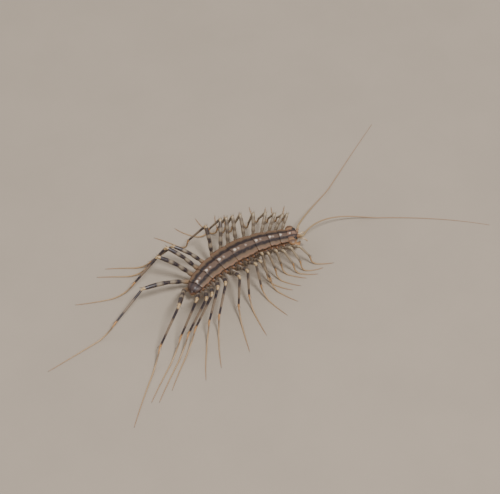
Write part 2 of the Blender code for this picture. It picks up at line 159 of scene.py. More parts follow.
# Thickness along the upper leg: share of its length, share of the coxa's radius
UPPER_SHAPE = (
    (0.0, 0.82), (0.05, 0.88), (0.10, 0.86), (0.125, 0.66), (0.15, 0.72),
    (0.22, 0.92), (0.34, 0.86), (0.405, 0.74), (0.42, 0.60), (0.44, 0.70),
    (0.56, 0.87), (0.74, 0.88), (0.90, 0.75), (0.97, 0.65), (1.0, 0.48),
)
UPPER_ARCH = 0.08
UPPER_RINGS = 42
# Thickness along the tibia: share of its length, radius
TIBIA_SHAPE = ((0.0, 0.21), (0.03, 0.25), (0.10, 0.27), (0.5, 0.24), (0.90, 0.215), (0.96, 0.21), (1.0, 0.15))
TIBIA_RINGS = 26
TARSUS_RADIUS = 0.17
TARSUS_TIP = 0.05
TARSUS_ARTICLES = 34
ARTICLE_SHAPE = (1.0, 1.06, 0.86)
LEG_SIDES = 15
LEG_RIDGE = 0.05
LEG_RIDGES = 5
# Spurs: where they stand along the run of a leg, their length, its growth by leg, and their lean
SPUR_RUNS = (0.415, 0.985, 1.97)
KNEE_SPUR = 0.58
SPUR_GROWTH = 0.024
SPUR_LEAN = 0.45
SPUR_RADIUS = 0.04
SPINE_RADIUS = 0.016
HAIR_RADIUS = 0.011
BODY_BRISTLE_RADIUS = 0.012
# Rings of a claw at the end of a leg: how far ahead of the tip, how high over it, radius
CLAW_AHEAD = (-0.06, 0.1, 0.22, 0.3)
CLAW_RISE = (0.0, 0.03, 0.02, -0.03)
CLAW_RADII = (0.045, 0.038, 0.024, 0.006)

# Antennae: degrees from the heading against distance along them
ANTENNA_LENGTH = {1: 38.0, -1: 44.0}
ANTENNA_BEND = {
    1: ((0, 30), (3, 27), (8, 26), (14, 25), (38, 23)),
    -1: ((0, 30), (2, 20), (5, 7), (9, -9), (14, -25), (20, -36), (32, -42), (44, -50)),
}
ANTENNA_TOUCHES = {1: 17.0, -1: 20.0}
ANTENNA_BASE = 0.19
ANTENNA_TIP = 0.05
ANTENNA_RINGS = 260
ANTENNA_SIDES = 10
# Rings of an antenna's socket on the head and of its first joint: distance along the way, radius
SOCKET_AHEAD = (-0.75, -0.5, -0.3, -0.12, 0.0)
SOCKET_RADII = (0.36, 0.33, 0.29, 0.31, 0.24)
SCAPE_AHEAD = (-0.15, 0.2, 0.5, 0.8)
SCAPE_RADII = (0.2, 0.24, 0.25, 0.2)
ANTENNA_ROOT = (0.05, 0.66, 4.5)
ANTENNA_WAY = {1: (0.4, 0.75, 0.5), -1: (0.8, 0.4, 0.5)}

# Head: share of its length from the front, half width, top, bottom
HEAD_RINGS = (
    (0.0, 0.55, 4.6, 3.75),
    (0.07, 0.92, 4.78, 3.4),
    (0.22, 1.24, 4.95, 3.1),
    (0.45, 1.46, 5.05, 2.9),
    (0.72, 1.5, 5.08, 2.8),
    (1.0, 1.38, 5.0, 2.8),
)
HEAD_ROWS = 44
HEAD_COLUMNS = 72
# Eyes, cheeks and mouthparts: place as distance behind the head's front, to the side and over the floor,
# half size, way as shares forwards, sideways and up, and how much wider the rim round an eye is
EYE_PLACE = (0.75, 1.18, 4.55)
EYE_HALF = (0.44, 0.36, 0.4)
EYE_WAY = (0.28, 0.88, 0.38)
EYE_RIM = 0.08
EYE_ROWS = 18
EYE_COLUMNS = 40
CHEEK_PLACE = (1.42, 1.42, 4.28)
CHEEK_HALF = (0.95, 1.06, 0.56)
CHEEK_BLEND = 6
# Rings of the lip: how far behind the head's front, half width
LIP = ((0.45, 0.5), (0.15, 0.62), (-0.12, 0.6), (-0.3, 0.42), (-0.36, 0.2))
LIP_SIDES = 16
# Mouthparts: root and way, distances of the first points ahead of the root, then the rest of the route
FORCIPULE_ROOT = (1.5, 1.12, 3.05)
FORCIPULE_WAY = (0.6, 0.75, -0.1)
FORCIPULE_AHEAD = (-0.25, 0.3)
FORCIPULE_ROUTE = (
    (0.80, 1.68, 2.98), (0.4, 1.62, 2.95), (0.05, 1.4, 2.88), (-0.25, 0.98, 2.75), (-0.45, 0.48, 2.62),
)
PALP_ROOT = (0.1, 0.34, 3.78)
PALP_WAY = (0.93, 0.3, -0.2)
PALP_AHEAD = (-0.2, 0.35)
PALP_ROUTE = ((-1.1, 0.78, 3.6), (-1.6, 1.0, 3.3), (-1.85, 1.1, 2.85))
# Thickness of claws and palps: share of their length, radius
FORCIPULE_SHAPE = (
    (0.0, 0.46), (0.1, 0.5), (0.28, 0.52), (0.33, 0.5), (0.37, 0.53), (0.5, 0.46),
    (0.56, 0.38), (0.6, 0.42), (0.7, 0.34), (0.85, 0.22), (0.95, 0.12), (1.0, 0.03),
)
PALP_SHAPE = (
    (0.0, 0.2), (0.1, 0.24), (0.3, 0.22), (0.36, 0.16), (0.42, 0.21),
    (0.64, 0.2), (0.7, 0.14), (0.75, 0.18), (0.95, 0.12), (1.0, 0.05),
)

# Camera: the photograph's viewing angle. Degrees, millimetres and pixels a millimetre
CAMERA_TURN = -37.7
CAMERA_HEIGHT = 52.0
CAMERA_DISTANCE = 350.0
CAMERA_SCALE = 4.8
CAMERA_SENSOR = 36.0
IMAGE_WIDTH = 500
# Half the floor's side, and the nearest and furthest things the camera shows, all in metres
FLOOR_HALF = 3.0
CAMERA_NEAR = 0.01
CAMERA_FAR = 20.0
SKY_COLOUR = (1.0, 0.985, 0.96, 1.0)


# Lines and places, the same as in the solids


def between(knots, x):
    return float(np.interp(x, *zip(*knots)))


def hump(x, width):
    """1 where x is 0, and soon 0 beyond the width."""
    return math.exp(-((x / width) ** 2))


def bulge(x, power):
    """A sine or cosine that runs fuller than a circle's."""
    return math.copysign(abs(x) ** power, x)


def spans():
    """Start along the body, and the row, of the head and each tergite."""
    start = 0.0
    for row in (HEAD, *TERGITES):
        yield start, row
        start += row[1]


SPANS = tuple(spans())
HEADINGS = tuple((start + row[1] / 2, row[3]) for start, row in SPANS)
WIDTHS = tuple((start + row[1] / 2, row[2]) for start, row in SPANS)
BODY_LENGTH = SPANS[-1][0] + SPANS[-1][1][1]


def body_line():
    point = HEAD_FRONT.copy()
    points = [point.copy()]
    for i in range(int(BODY_LENGTH / LINE_STEP) + 40):
        angle = math.radians(between(HEADINGS, (i + 0.5) * LINE_STEP))
        point = point - np.array([math.cos(angle), math.sin(angle)]) * LINE_STEP
        points.append(point)
    return np.array(points)


LINE = body_line()


def heading(s):
    return between(HEADINGS, s)


def at_body(s, y, z):
    """A point at distance s behind the head's front, y to the left of the body's line and z high."""
    angle = math.radians(heading(s))
    if s < 0:
        base = LINE[0] - np.array([math.cos(angle), math.sin(angle)]) * s
    else:
        i = min(int(s / LINE_STEP), len(LINE) - 2)
        base = LINE[i] + (LINE[i + 1] - LINE[i]) * (s / LINE_STEP - i)
    return np.array([base[0] - math.sin(angle) * y, base[1] + math.cos(angle) * y, z])


def flat(degrees):
    angle = math.radians(degrees)
    return np.array([math.cos(angle), math.sin(angle), 0.0])


def unit(vector):
    return vector / np.linalg.norm(vector)


def body_way(s, forwards, sideways, up):
    return unit(flat(heading(s)) * forwards + flat(heading(s) + 90) * sideways + UP * up)


def root_place(root, way, side, out):
    """Where a paired part leaves the head on one side, and its way."""
    s, y, z = root
    forwards, sideways, up = way
    way = body_way(s, forwards, sideways * side, up)
    return at_body(s, y * side, z) + way * out, way


def antenna_place(side):
    return root_place(ANTENNA_ROOT, ANTENNA_WAY[side], side, 0.5)


def eye_frame(side):
    """Middle of an eye, its way outwards, and the ways ahead and above on its face."""
    middle, way = root_place(EYE_PLACE, EYE_WAY, side, 0.0)
    ahead = body_way(EYE_PLACE[0], 1.0, 0.0, 0.0)
    ahead = unit(ahead - way * ahead.dot(way))
    return middle, way, ahead, np.cross(way, ahead)


def tail_place():
    """Where the last small segments stand out behind the trunk, and their way."""
    s = BODY_LENGTH - 0.35
    return at_body(s, 0.0, between(CROWN, s) - 0.95), body_way(s, -0.95, 0.0, -0.18)


def leg_row(n):
    """The tergite that carries leg n, the leg's share of its length, and the leg's place along the body."""
    start, row = next(span for span in SPANS if n in span[1][4])
    pitch = row[1] / len(row[4])
    return row, pitch, start + pitch * (row[4].index(n) + 0.5)


def coxa_place(n, side):
    """End, way and radius of the first joint of a leg."""
    s = leg_row(n)[2]
    outward = heading(s) + 90 * side
    turn = (POSES[side][n - 1][0] - outward + 180) % 360 - 180
    lift = math.radians(COXA_LIFT)
    way = unit(flat(outward + 0.45 * turn) * math.cos(lift) + UP * math.sin(lift))
    return at_body(s, side * between(WIDTHS, s) * COXA_REACH, COXA_Z), way, 0.36 + 0.011 * n


def leg_lengths(n, side):
    general = (3.9 + 0.28 * n + 0.0008 * n**3, 3.4 + 0.24 * n + 0.00065 * n**3, 6.0 + 0.12 * n + 0.003 * n**3)
    change = LENGTH_CHANGES.get((side, n), (1.0, 1.0, 1.0))
    return [length * factor for length, factor in zip(general, change)]


def reach(length, height):
    """How far a length reaches over the floor while it drops a height."""
    return math.sqrt(max(length**2 - height**2, (0.25 * length) ** 2))


def leg_axis(n, side):
    """Points, radii and run of a leg: 0 at its root, 1 at the knee, 2 at the ankle and 3 at the tip."""
    upper, tibia, tarsus = leg_lengths(n, side)
    up_way, shin_way, foot_way, tip_way, knee_z, ankle_z = POSES[side][n - 1]
    end, way, radius = coxa_place(n, side)
    start = end + way * COXA_GAP
    rise = knee_z - start[2]
    knee = start + flat(up_way) * reach(upper, rise) + UP * rise
    drop = knee_z - ankle_z
    ankle = knee + flat(shin_way) * reach(tibia, drop) - UP * drop
    rings = []
    for along in (-0.12, -0.05, *np.linspace(0.0, 0.985, UPPER_RINGS)):
        run = max(along, 0.0)
        place = start + (knee - start) * run + UP * (UPPER_ARCH * upper * math.sin(math.pi * run))
        inwards = 0.2 * along * upper if along < 0 else 0.42 * min(along / 0.06, 1.0) * (1 - along) ** 2
        rings.append((place + way * inwards, radius * between(UPPER_SHAPE, run), run))
    for along in np.linspace(0.0, 1.0, TIBIA_RINGS):
        rings.append((knee + (ankle - knee) * along, between(TIBIA_SHAPE, along), 1.0 + along))
    landing = min(0.5, 1.75 * (ankle_z - TARSUS_RADIUS) / tarsus + 0.06)
    point = ankle.copy()
    steps = TARSUS_ARTICLES * len(ARTICLE_SHAPE)
    for i in range(1, steps + 1):
        along = i / steps
        thick = TARSUS_RADIUS + (TARSUS_TIP - TARSUS_RADIUS) * along**1.2
        z = thick
        if along < landing:
            z = thick + (ankle_z - TARSUS_RADIUS) * (1 - along / landing) ** 1.7
        angle = foot_way + (tip_way - foot_way) * (along - 0.5 / steps)
        point = point + flat(angle) * reach(tarsus / steps, point[2] - z)
        point[2] = z
        rings.append((point.copy(), thick * ARTICLE_SHAPE[i % len(ARTICLE_SHAPE)], 2.0 + along))
    return [np.array(each) for each in zip(*rings)]


# Meshes


def grid_faces(rows, columns, closed=True):
    """Faces between rows of points. A closed row joins its last point to its first."""
    faces = []
    for i in range(rows - 1):
        for j in range(columns if closed else columns - 1):
            k = (j + 1) % columns
            faces.append((i * columns + j, i * columns + k, (i + 1) * columns + k, (i + 1) * columns + j))
    return faces


def tube_faces(rows, columns):
    """Faces of a tube with a flat cap at each end."""
    last = (rows - 1) * columns
    return grid_faces(rows, columns) + [tuple(reversed(range(columns))), tuple(range(last, last + columns))]


def new_object(name, data):
    made = bpy.data.objects.new(name, data)
    bpy.context.scene.collection.objects.link(made)
    return made


class Shape:
    """Points, faces and named values of one piece while it is being made, in millimetres."""

    def __init__(self, *names):
        self.points = []
        self.faces = []
        self.values = {name: [] for name in names}
        self.patches = []

    def add(self, points, faces, patches=None, **values):
        """Adds points and faces, places on the bake map, and values as one number or one for each point."""
        base = len(self.points)
        self.points.extend(points)
        self.faces.extend(tuple(base + i for i in face) for face in faces)
        for name, listed in self.values.items():
            given = values.get(name, 0.0)
            listed.extend(given if np.ndim(given) else [given] * len(points))
        self.patches.extend(patches or [(0.0, 0.0)] * len(points))

    def piece(self, name, material, replaces=(), baked=False):
        """Makes the mesh, gives it its material, hangs it on the root and hides the solids it replaces."""
        mesh = bpy.data.meshes.new(name)
        points = np.array(self.points)
        points[:, 2] = np.maximum(points[:, 2], LEAST_HEIGHT)
        mesh.from_pydata(((points - CENTRE) * METRES_PER_MM).tolist(), [], self.faces)
        for key, listed in self.values.items():
            mesh.attributes.new(key, "FLOAT", "POINT").data.foreach_set("value", np.array(listed, np.float32))
        if baked:
            corners = np.zeros(len(mesh.loops), np.int32)
            mesh.loops.foreach_get("vertex_index", corners)
            layer = mesh.uv_layers.new(name="OFBake")
            layer.data.foreach_set("uv", np.array(self.patches, np.float32)[corners].ravel())
        work = bmesh.new()
        work.from_mesh(mesh)
        bmesh.ops.recalc_face_normals(work, faces=work.faces)
        work.to_mesh(mesh)
        work.free()
        mesh.shade_smooth()
        mesh.materials.append(material)
        made = new_object(name, mesh)
        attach(made, "root")
        if replaces:
            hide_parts(*replaces)
        return made


def frames_along(path):
    """Unit tangents, sideways and upward vectors along a path, without twist."""
    steps = np.diff(path, axis=0)
    steps = steps / np.linalg.norm(steps, axis=1)[:, None]
    tangents = np.vstack([steps[:1], steps[:-1] + steps[1:], steps[-1:]])
    tangents = tangents / np.linalg.norm(tangents, axis=1)[:, None]
    side = unit(np.cross(tangents[0], UP))
    sideways = []
    for tangent in tangents:
        side = unit(side - tangent * side.dot(tangent))
        sideways.append(side)
    sideways = np.array(sideways)
    return tangents, sideways, np.cross(sideways, tangents)


def sweep(path, radii, sides, ridge=0.0):
    """Points and faces of a closed tube along a path, with low ridges where asked."""
    _, sideways, upward = frames_along(path)
    angles = math.tau * np.arange(sides) / sides
    shape = 1.0 + ridge * np.cos(LEG_RIDGES * angles)
    points = []
    for i, point in enumerate(path):
        ring = np.outer(np.cos(angles) * shape, sideways[i]) + np.outer(np.sin(angles) * shape, upward[i])
        points.extend(point + ring * radii[i])
    faces = grid_faces(len(path), sides)
    start, end = len(points), len(points) + 1
    points += [path[0], path[-1]]
    for j in range(sides):
        k = (j + 1) % sides
        faces += [(start, k, j), (end, start - sides + j, start - sides + k)]
    return points, faces


def ring_values(values, sides):
    """One value for each point of a sweep from one value a ring."""
    return [*np.repeat(values, sides), values[0], values[-1]]


def smooth_path(points, count):
    """A finer path through the given points."""
    points = np.array(points)
    padded = np.vstack([2 * points[0] - points[1], points, 2 * points[-1] - points[-2]])
    found = []
    for k in range(count):
        place = k / (count - 1) * (len(points) - 1)
        i = min(int(place), len(points) - 2)
        t = place - i
        a, b, c, d = padded[i : i + 4]
        bent = (2 * a - 5 * b + 4 * c - d) * t**2 + (3 * b - a - 3 * c + d) * t**3
        found.append(0.5 * (2 * b + (c - a) * t + bent))
    return np.array(found)


SPIKE_FACES = ((0, 1, 4, 3), (1, 2, 5, 4), (2, 0, 3, 5), (3, 4, 6), (4, 5, 6), (5, 3, 6), (0, 2, 1))
# Rings of a spike: place along its length, share of its radius, share of its bend
SPIKE_RINGS = ((-0.12, 1.0, 0.0), (0.5, 0.62, 0.08))
SPIKE_PATCH = 0.0013


def spike(shape, root, way, length, radius, bend, patch, tone):
    """A slender three-sided spine that bends towards its end."""
    across = unit(np.cross(way, bend if abs(np.dot(way, unit(bend))) < 0.97 else np.array([0.3, 0.5, 0.8])))
    other = np.cross(way, across)
    points = []
    for height, thick, lean in SPIKE_RINGS:
        for angle in (0.0, math.tau / 3, math.tau * 2 / 3):
            off = (across * math.cos(angle) + other * math.sin(angle)) * radius * thick
            points.append(root + way * length * height + bend * length * lean + off)
    points.append(root + way * length * 0.95 + bend * length * 0.3)
    spots = [patch + SPIKE_PATCH * np.array([math.cos(k * 0.9), math.sin(k * 0.9)]) for k in range(len(points))]
    shape.add(points, SPIKE_FACES, spots, tone=tone)


# Materials

NOISE_ROUGHNESS = 0.55
# How far red, green and blue light goes under soft skin, in metres
SUBSURFACE_RADIUS = (0.0006, 0.0003, 0.00015)
# Sockets of the mix node for its factor and two colours
MIX_SOCKETS = (0, 6, 7)
# Colours of the legs beside those in the settings
LEG_TINTS = {
    "shin": (0.19, 0.135, 0.092),
    "cream": (0.48, 0.325, 0.16),
    "tan": (0.26, 0.165, 0.095),
    "olive": (0.245, 0.188, 0.13),
    "shade": (0.17, 0.127, 0.09),
    "straw": (0.38, 0.295, 0.19),
    "calf": (0.33, 0.258, 0.175),
}
# Bands down a leg: colour, and where it starts and ends on the leg's run. Soft ones in front, bold at the rear.
SOFT_BANDS = (
    ("tan", 0.00, 0.05), ("olive", 0.12, 0.20), ("shade", 0.26), ("olive", 0.31, 0.44), ("shade", 0.50),
    ("olive", 0.58, 0.68), ("shade", 0.80), ("straw", 0.90, 1.03), ("calf", 1.12, 1.75), ("shade", 1.84),
    ("olive", 1.93), ("joint", 1.98), ("foot", 2.06, 2.6), ("tip", 3.0),
)
BOLD_BANDS = (
    ("tan", 0.00, 0.085), ("pale", 0.155), ("dark", 0.205, 0.27), ("pale", 0.32, 0.395), ("dark", 0.44, 0.55),
    ("pale", 0.605, 0.67), ("dark", 0.725, 0.92), ("cream", 0.95, 1.04), ("dark", 1.075, 1.26),
    ("shin", 1.36, 1.64), ("dark", 1.74, 1.90), ("joint", 1.95, 2.03), ("shin", 2.08), ("foot", 2.22, 2.6),
    ("tip", 3.0),
)
RUN_END = 3
# Colours laid over the grounds of legs, skin, plates, head, eyes, antennae and bristles
LEG_GRAIN = (0.09, 0.055, 0.04)
LEG_MOTTLE = (0.45, 0.30, 0.17)
SKIN_PATCH = (0.20, 0.105, 0.055)
SKIN_SPOT = (0.024, 0.016, 0.017)
PLATE_RUST = (0.20, 0.102, 0.055)
PLATE_LIGHT = (0.22, 0.122, 0.07)
# Painted highlight on the plates' saddle humps
PLATE_SADDLE_HIGHLIGHT = (0.70, 0.585, 0.49)
# Fainter painted highlights ahead of the plates' saddles
PLATE_SECOND_HIGHLIGHT = (0.52, 0.41, 0.34)
PLATE_DUSK = (0.045, 0.028, 0.03)
# Painted shade in the breathing slits
PLATE_SLIT_SHADE = (0.012, 0.008, 0.008)
HEAD_FRONT_BROWN = (0.10, 0.055, 0.038)
HEAD_UNDERSIDE = (0.42, 0.235, 0.11)
HEAD_SEAM = (0.035, 0.02, 0.017)
# Painted highlight on the head's top near its rear
HEAD_HIGHLIGHT = (0.70, 0.58, 0.48)
HEAD_MOTTLE = (0.14, 0.075, 0.045)
CHEEK_ORANGE = (0.47, 0.26, 0.12)
CHEEK_TOP = (0.105, 0.06, 0.04)
EYE_SHEEN = (0.06, 0.03, 0.02)
ANTENNA_GROOVE = (0.16, 0.085, 0.05)
BRISTLE_MOTTLE = (0.12, 0.07, 0.04)


def dim(colour, factor):
    return tuple(factor * part for part in colour)


class Look:
    """Nodes of one procedural material."""

    def __init__(self, name, roughness, specular=0.5, coat=0.0, coat_roughness=0.1, subsurface=0.0):
        self.material = bpy.data.materials.new(name)
        self.material.use_nodes = True
        self.tree = self.material.node_tree
        self.shader = self.tree.nodes["Principled BSDF"]
        given = {"Roughness": roughness, "Specular IOR Level": specular, "Coat Weight": coat}
        given["Coat Roughness"] = coat_roughness
        if subsurface:
            given.update({"Subsurface Weight": subsurface, "Subsurface Radius": SUBSURFACE_RADIUS})
            given["Subsurface Scale"] = 1.0
        self.feed(self.shader, given)
        self.place = self.node("ShaderNodeTexCoord").outputs["Object"]

    def feed(self, node, given):
        """Sets a node's inputs to numbers or colours, or links them to outputs of other nodes."""
        for key, value in given.items():
            socket = node.inputs[key]
            if isinstance(value, bpy.types.NodeSocket):
                self.tree.links.new(value, socket)
            else:
                socket.default_value = (*value, 1.0) if socket.type == "RGBA" else value

    def node(self, kind, given=(), **settings):
        made = self.tree.nodes.new(kind)
        for key, value in settings.items():
            setattr(made, key, value)
        self.feed(made, dict(given))
        return made

    def value(self, name):
        """A named value of the mesh."""
        return self.node("ShaderNodeAttribute", attribute_name=name, attribute_type="GEOMETRY").outputs["Fac"]

    def noise(self, per_mm, detail=3.0):
        given = {"Vector": self.place, "Scale": per_mm / METRES_PER_MM, "Detail": detail}
        return self.node("ShaderNodeTexNoise", {**given, "Roughness": NOISE_ROUGHNESS}).outputs["Fac"]

    def cells(self, per_mm):
        given = {"Vector": self.place, "Scale": per_mm / METRES_PER_MM}
        return self.node("ShaderNodeTexVoronoi", given).outputs["Distance"]

    def sum(self, *parts):
        """Adds up pairs of a socket and its weight."""
        total = 0.0
        for source, weight in parts:
            total = self.math("MULTIPLY_ADD", source, weight, total)
        return total

    def math(self, operation, *given):
        return self.node("ShaderNodeMath", enumerate(given), operation=operation).outputs[0]

    def ragged(self, name, per_mm, weight):
        """A named value of the mesh with noise added."""
        return self.sum((self.value(name), 1.0), (self.noise(per_mm), weight))

    def ramp(self, source, stops):
        """Colours along a source, from pairs of a place and a colour."""
        made = self.node("ShaderNodeValToRGB", {"Fac": source})
        elements = made.color_ramp.elements
        while len(elements) < len(stops):
            elements.new(1.0)
        for element, (position, colour) in zip(elements, stops):
            element.position = position
            element.color = (*colour, 1.0)
        return made.outputs["Color"]

    def mix(self, factor, a, b):
        """Goes from colour a to colour b as the factor goes from 0 to 1."""
        return self.node("ShaderNodeMix", zip(MIX_SOCKETS, (factor, a, b)), data_type="RGBA").outputs[2]

    def over(self, base, mask, share, colour):
        """Lays a colour over the base where the mask is 1, as strongly as the share says."""
        return self.mix(self.math("MULTIPLY", mask, share), base, colour)

    def step(self, source, low, high):
        """Goes from 0 to 1 as the source goes from low to high."""
        given = {"Value": source, "From Min": low, "From Max": high}
        return self.node("ShaderNodeMapRange", given, interpolation_type="SMOOTHSTEP").outputs["Result"]

    def finish(self, colour, source, smooth, rough, height=None, depth=0.0, strength=0.6):
        """Sets the colour, the roughness from a source, and a bump with its depth in millimetres."""
        spread = self.node("ShaderNodeMapRange", {"Value": source, "To Min": smooth, "To Max": rough})
        self.feed(self.shader, {"Base Color": colour, "Roughness": spread.outputs["Result"]})
        if height is not None:
            given = {"Height": height, "Distance": depth * METRES_PER_MM, "Strength": strength}
            self.feed(self.shader, {"Normal": self.node("ShaderNodeBump", given).outputs["Normal"]})
        return self.material


def leg_look(settings):
    """Pale cuticle with dark bands, bold on the rear legs and faint on the front ones."""
    look = Look("leg_cuticle", 0.42, specular=0.45, coat=0.15, coat_roughness=0.25)
    tints = {name: tuple(getattr(settings, name)) for name in ("pale", "dark", "joint", "foot", "tip")}
    tints.update(LEG_TINTS)
    wander = look.sum((look.noise(1.1), 0.035), (look.noise(4.0), 0.015))
    run = look.math("SUBTRACT", look.sum((look.value("run"), 1 / RUN_END), (wander, 1.0)), 0.025)
    soft, bold = (
        look.ramp(run, [(place / RUN_END, tints[name]) for name, *places in bands for place in places])
        for bands in (SOFT_BANDS, BOLD_BANDS)
    )
    base = look.mix(look.value("bold"), soft, bold)
    base = look.over(base, look.step(look.noise(9.0, 5.0), 0.35, 0.75), 0.28, LEG_GRAIN)
    base = look.over(base, look.step(look.noise(2.3), 0.45, 0.8), 0.25, LEG_MOTTLE)
    return look.finish(base, look.noise(5.0), 0.34, 0.52, look.noise(16.0, 4.0), 0.012)


def bristle_look():
    """Short stiff dark brown bristles."""
    look = Look("bristle_brown", 0.45, specular=0.4)
    base = look.ramp(look.value("tone"), ((0.0, (0.05, 0.028, 0.018)), (1.0, (0.33, 0.19, 0.09))))
    base = look.mix(look.step(look.noise(6.0), 0.3, 0.7), base, BRISTLE_MOTTLE)
    return look.finish(base, look.noise(8.0), 0.38, 0.55)


def skin_look(settings):
    """Soft orange-brown flanks with dark spots at the legs, paler below, and painted shade darkening them to
    near black under the plates' rims.
    """
    look = Look("flank_skin", 0.5, specular=0.4, coat=0.1, coat_roughness=0.3, subsurface=0.08)
    # The last two stops are painted shade: the flank darkens to near black where the plates' rims hang over it.
    stops = (
        (0.0, (0.34, 0.235, 0.14)), (0.25, (0.30, 0.17, 0.095)), (0.55, tuple(settings.flank)),
        (0.85, (0.17, 0.085, 0.048)), (1.0, (0.05, 0.03, 0.024)),
    )
    base = look.ramp(look.ragged("up", 1.6, 0.22), stops)
    base = look.over(base, look.step(look.noise(2.6), 0.46, 0.72), 0.5, SKIN_PATCH)
    base = look.mix(look.step(look.ragged("spot", 4.5, 0.45), 0.62, 0.86), base, SKIN_SPOT)
    height = look.sum((look.noise(7.0, 5.0), 1.0), (look.cells(11.0), 0.5))
    return look.finish(base, look.noise(4.0), 0.38, 0.6, height, 0.03)


def plate_look(settings):
    """Glossy plates: a pinkish grey middle band, two near-black stripes and olive brown sides, with painted
    highlights on the saddles and ahead of them, and painted shade in the breathing slits.
    """
    look = Look("plate_cuticle", 0.42, specular=0.42, coat=0.12, coat_roughness=0.25)
    across = look.math("ABSOLUTE", look.value("across"))
    wobble = look.sum((look.noise(1.3), 0.16), (look.noise(5.0), 0.08))
    middle, stripe, side = (tuple(colour) for colour in (settings.middle, settings.stripe, settings.side))
    stops = (
        (0.0, middle), (0.20, middle), (0.25, dim(middle, 0.5)), (0.29, stripe), (0.50, stripe),
        (0.59, dim(side, 0.6)), (0.68, side), (0.78, side), (0.86, PLATE_RUST), (0.93, PLATE_RUST),
        (0.97, dim(side, 0.5)), (1.0, dim(side, 0.35)),
    )
    base = look.ramp(look.math("SUBTRACT", look.math("ADD", across, wobble), 0.12), stops)
    base = look.over(base, look.step(look.noise(2.4, 5.0), 0.5, 0.78), 0.30, PLATE_LIGHT)
    # Painted highlight: pale colour on the saddle humps stands in for their glints.
    saddle = look.step(look.ragged("saddle", 3.0, 0.35), 0.5, 1.05)
    base = look.over(base, saddle, 0.85, PLATE_SADDLE_HIGHLIGHT)
    # Painted highlight: fainter pale glints ahead of each saddle, carried by the mark value.
    base = look.over(base, look.step(look.ragged("mark", 3.6, 0.6), 0.6, 1.3), 0.55, PLATE_SECOND_HIGHLIGHT)
    base = look.over(base, look.value("dusk"), 0.7, PLATE_DUSK)
    # Painted shade: near black in the breathing slit's groove.
    base = look.mix(look.value("slit"), base, PLATE_SLIT_SHADE)
    shine = look.sum((look.noise(6.0), 0.7), (saddle, -0.5), (across, 0.6))
    height = look.sum((look.noise(5.0, 4.0), 1.0), (look.cells(7.5), 0.7))
    return look.finish(base, shine, 0.28, 0.62, height, 0.022, 0.5)


def head_look():
    """Brown head: pinkish middle, dark stripes back from the eyes, orange cheeks and a painted highlight near
    its rear.
    """
    look = Look("head_cuticle", 0.42, specular=0.4, coat=0.06, coat_roughness=0.3)
    across = look.value("across")
    place = look.sum((look.math("ABSOLUTE", across), 1.0), (look.noise(2.0), 0.2))
    stops = (
        (0.0, (0.24, 0.145, 0.105)), (0.22, (0.21, 0.12, 0.085)), (0.31, (0.035, 0.021, 0.02)),
        (0.50, (0.04, 0.022, 0.02)), (0.60, (0.15, 0.08, 0.048)), (0.78, (0.20, 0.105, 0.058)),
        (1.0, (0.34, 0.185, 0.085)),
    )
    base = look.ramp(look.math("SUBTRACT", place, 0.1), stops)
    base = look.over(base, look.step(look.value("along"), 0.10, 0.03), 0.85, HEAD_FRONT_BROWN)
    base = look.mix(look.step(look.value("up"), 0.46, 0.26), base, HEAD_UNDERSIDE)
    cheek = look.mix(look.step(look.ragged("up", 2.2, 0.2), 0.64, 0.90), CHEEK_ORANGE, CHEEK_TOP)
    for side, _ in SIDES:
        base = look.mix(look.step(across, 0.92 * side, 1.12 * side), base, cheek)
    base = look.over(base, look.value("seam"), 0.8, HEAD_SEAM)
    # Painted highlight: a pale glint on the top of the head near its rear.
    base = look.over(base, look.step(look.ragged("spot", 3.0, 0.35), 0.5, 1.05), 0.8, HEAD_HIGHLIGHT)
    base = look.over(base, look.step(look.noise(5.0), 0.45, 0.75), 0.3, HEAD_MOTTLE)
    height = look.sum((look.noise(9.0, 4.0), 1.0), (look.cells(12.0), 0.5))
    return look.finish(base, look.noise(6.0), 0.38, 0.58, height, 0.016)


def eye_look():
    """Black faceted eye under a clear gloss."""
    look = Look("eye_facets", 0.4, specular=0.4, coat=0.12, coat_roughness=0.3)
    facets = look.cells(17.0)
    base = look.ramp(facets, ((0.0, (0.035, 0.026, 0.028)), (0.7, (0.006, 0.005, 0.006))))
    base = look.mix(look.step(look.noise(3.0), 0.5, 0.8), base, EYE_SHEEN)
    return look.finish(base, look.noise(7.0), 0.32, 0.48, facets, -0.03)


def antenna_look():
    """Thin orange-tan antenna with fine rings, reddish towards its tip."""
    look = Look("antenna_rings", 0.45, specular=0.4)
    stops = (
        (0.0, (0.32, 0.215, 0.105)), (0.06, (0.38, 0.27, 0.14)), (0.3, (0.43, 0.285, 0.17)),
        (1.0, (0.41, 0.26, 0.175)),
    )
    base = look.ramp(look.ragged("run", 1.5, 0.06), stops)
    base = look.over(base, look.value("groove"), 0.55, ANTENNA_GROOVE)
    return look.finish(base, look.noise(6.0), 0.38, 0.56, look.noise(14.0), 0.01)


def mouth_look(name, root, end):
    """Cuticle that goes from one colour at the root to a darker one at the point."""
    look = Look(name, 0.34, specular=0.5, coat=0.25, coat_roughness=0.15)
    halfway = tuple(0.5 * (a + b) for a, b in zip(root, end))
    stops = ((0.0, root), (0.55, dim(root, 0.9)), (0.8, halfway), (1.0, end))
    base = look.ramp(look.ragged("run", 3.0, 0.1), stops)
    base = look.over(base, look.step(look.noise(5.0), 0.48, 0.75), 0.35, dim(root, 0.5))
    return look.finish(base, look.noise(7.0), 0.26, 0.46, look.noise(11.0), 0.012)


def floor_look(settings):
    """Plain pale matt floor with a very faint mottling."""
    look = Look("floor_pale", 0.8, specular=0.2)
    floor = tuple(settings.floor)
    base = look.mix(look.step(look.noise(0.05, 6.0), 0.3, 0.7), floor, dim(floor, 0.955))
    return look.finish(base, look.noise(0.2), 0.72, 0.88)


# Pieces


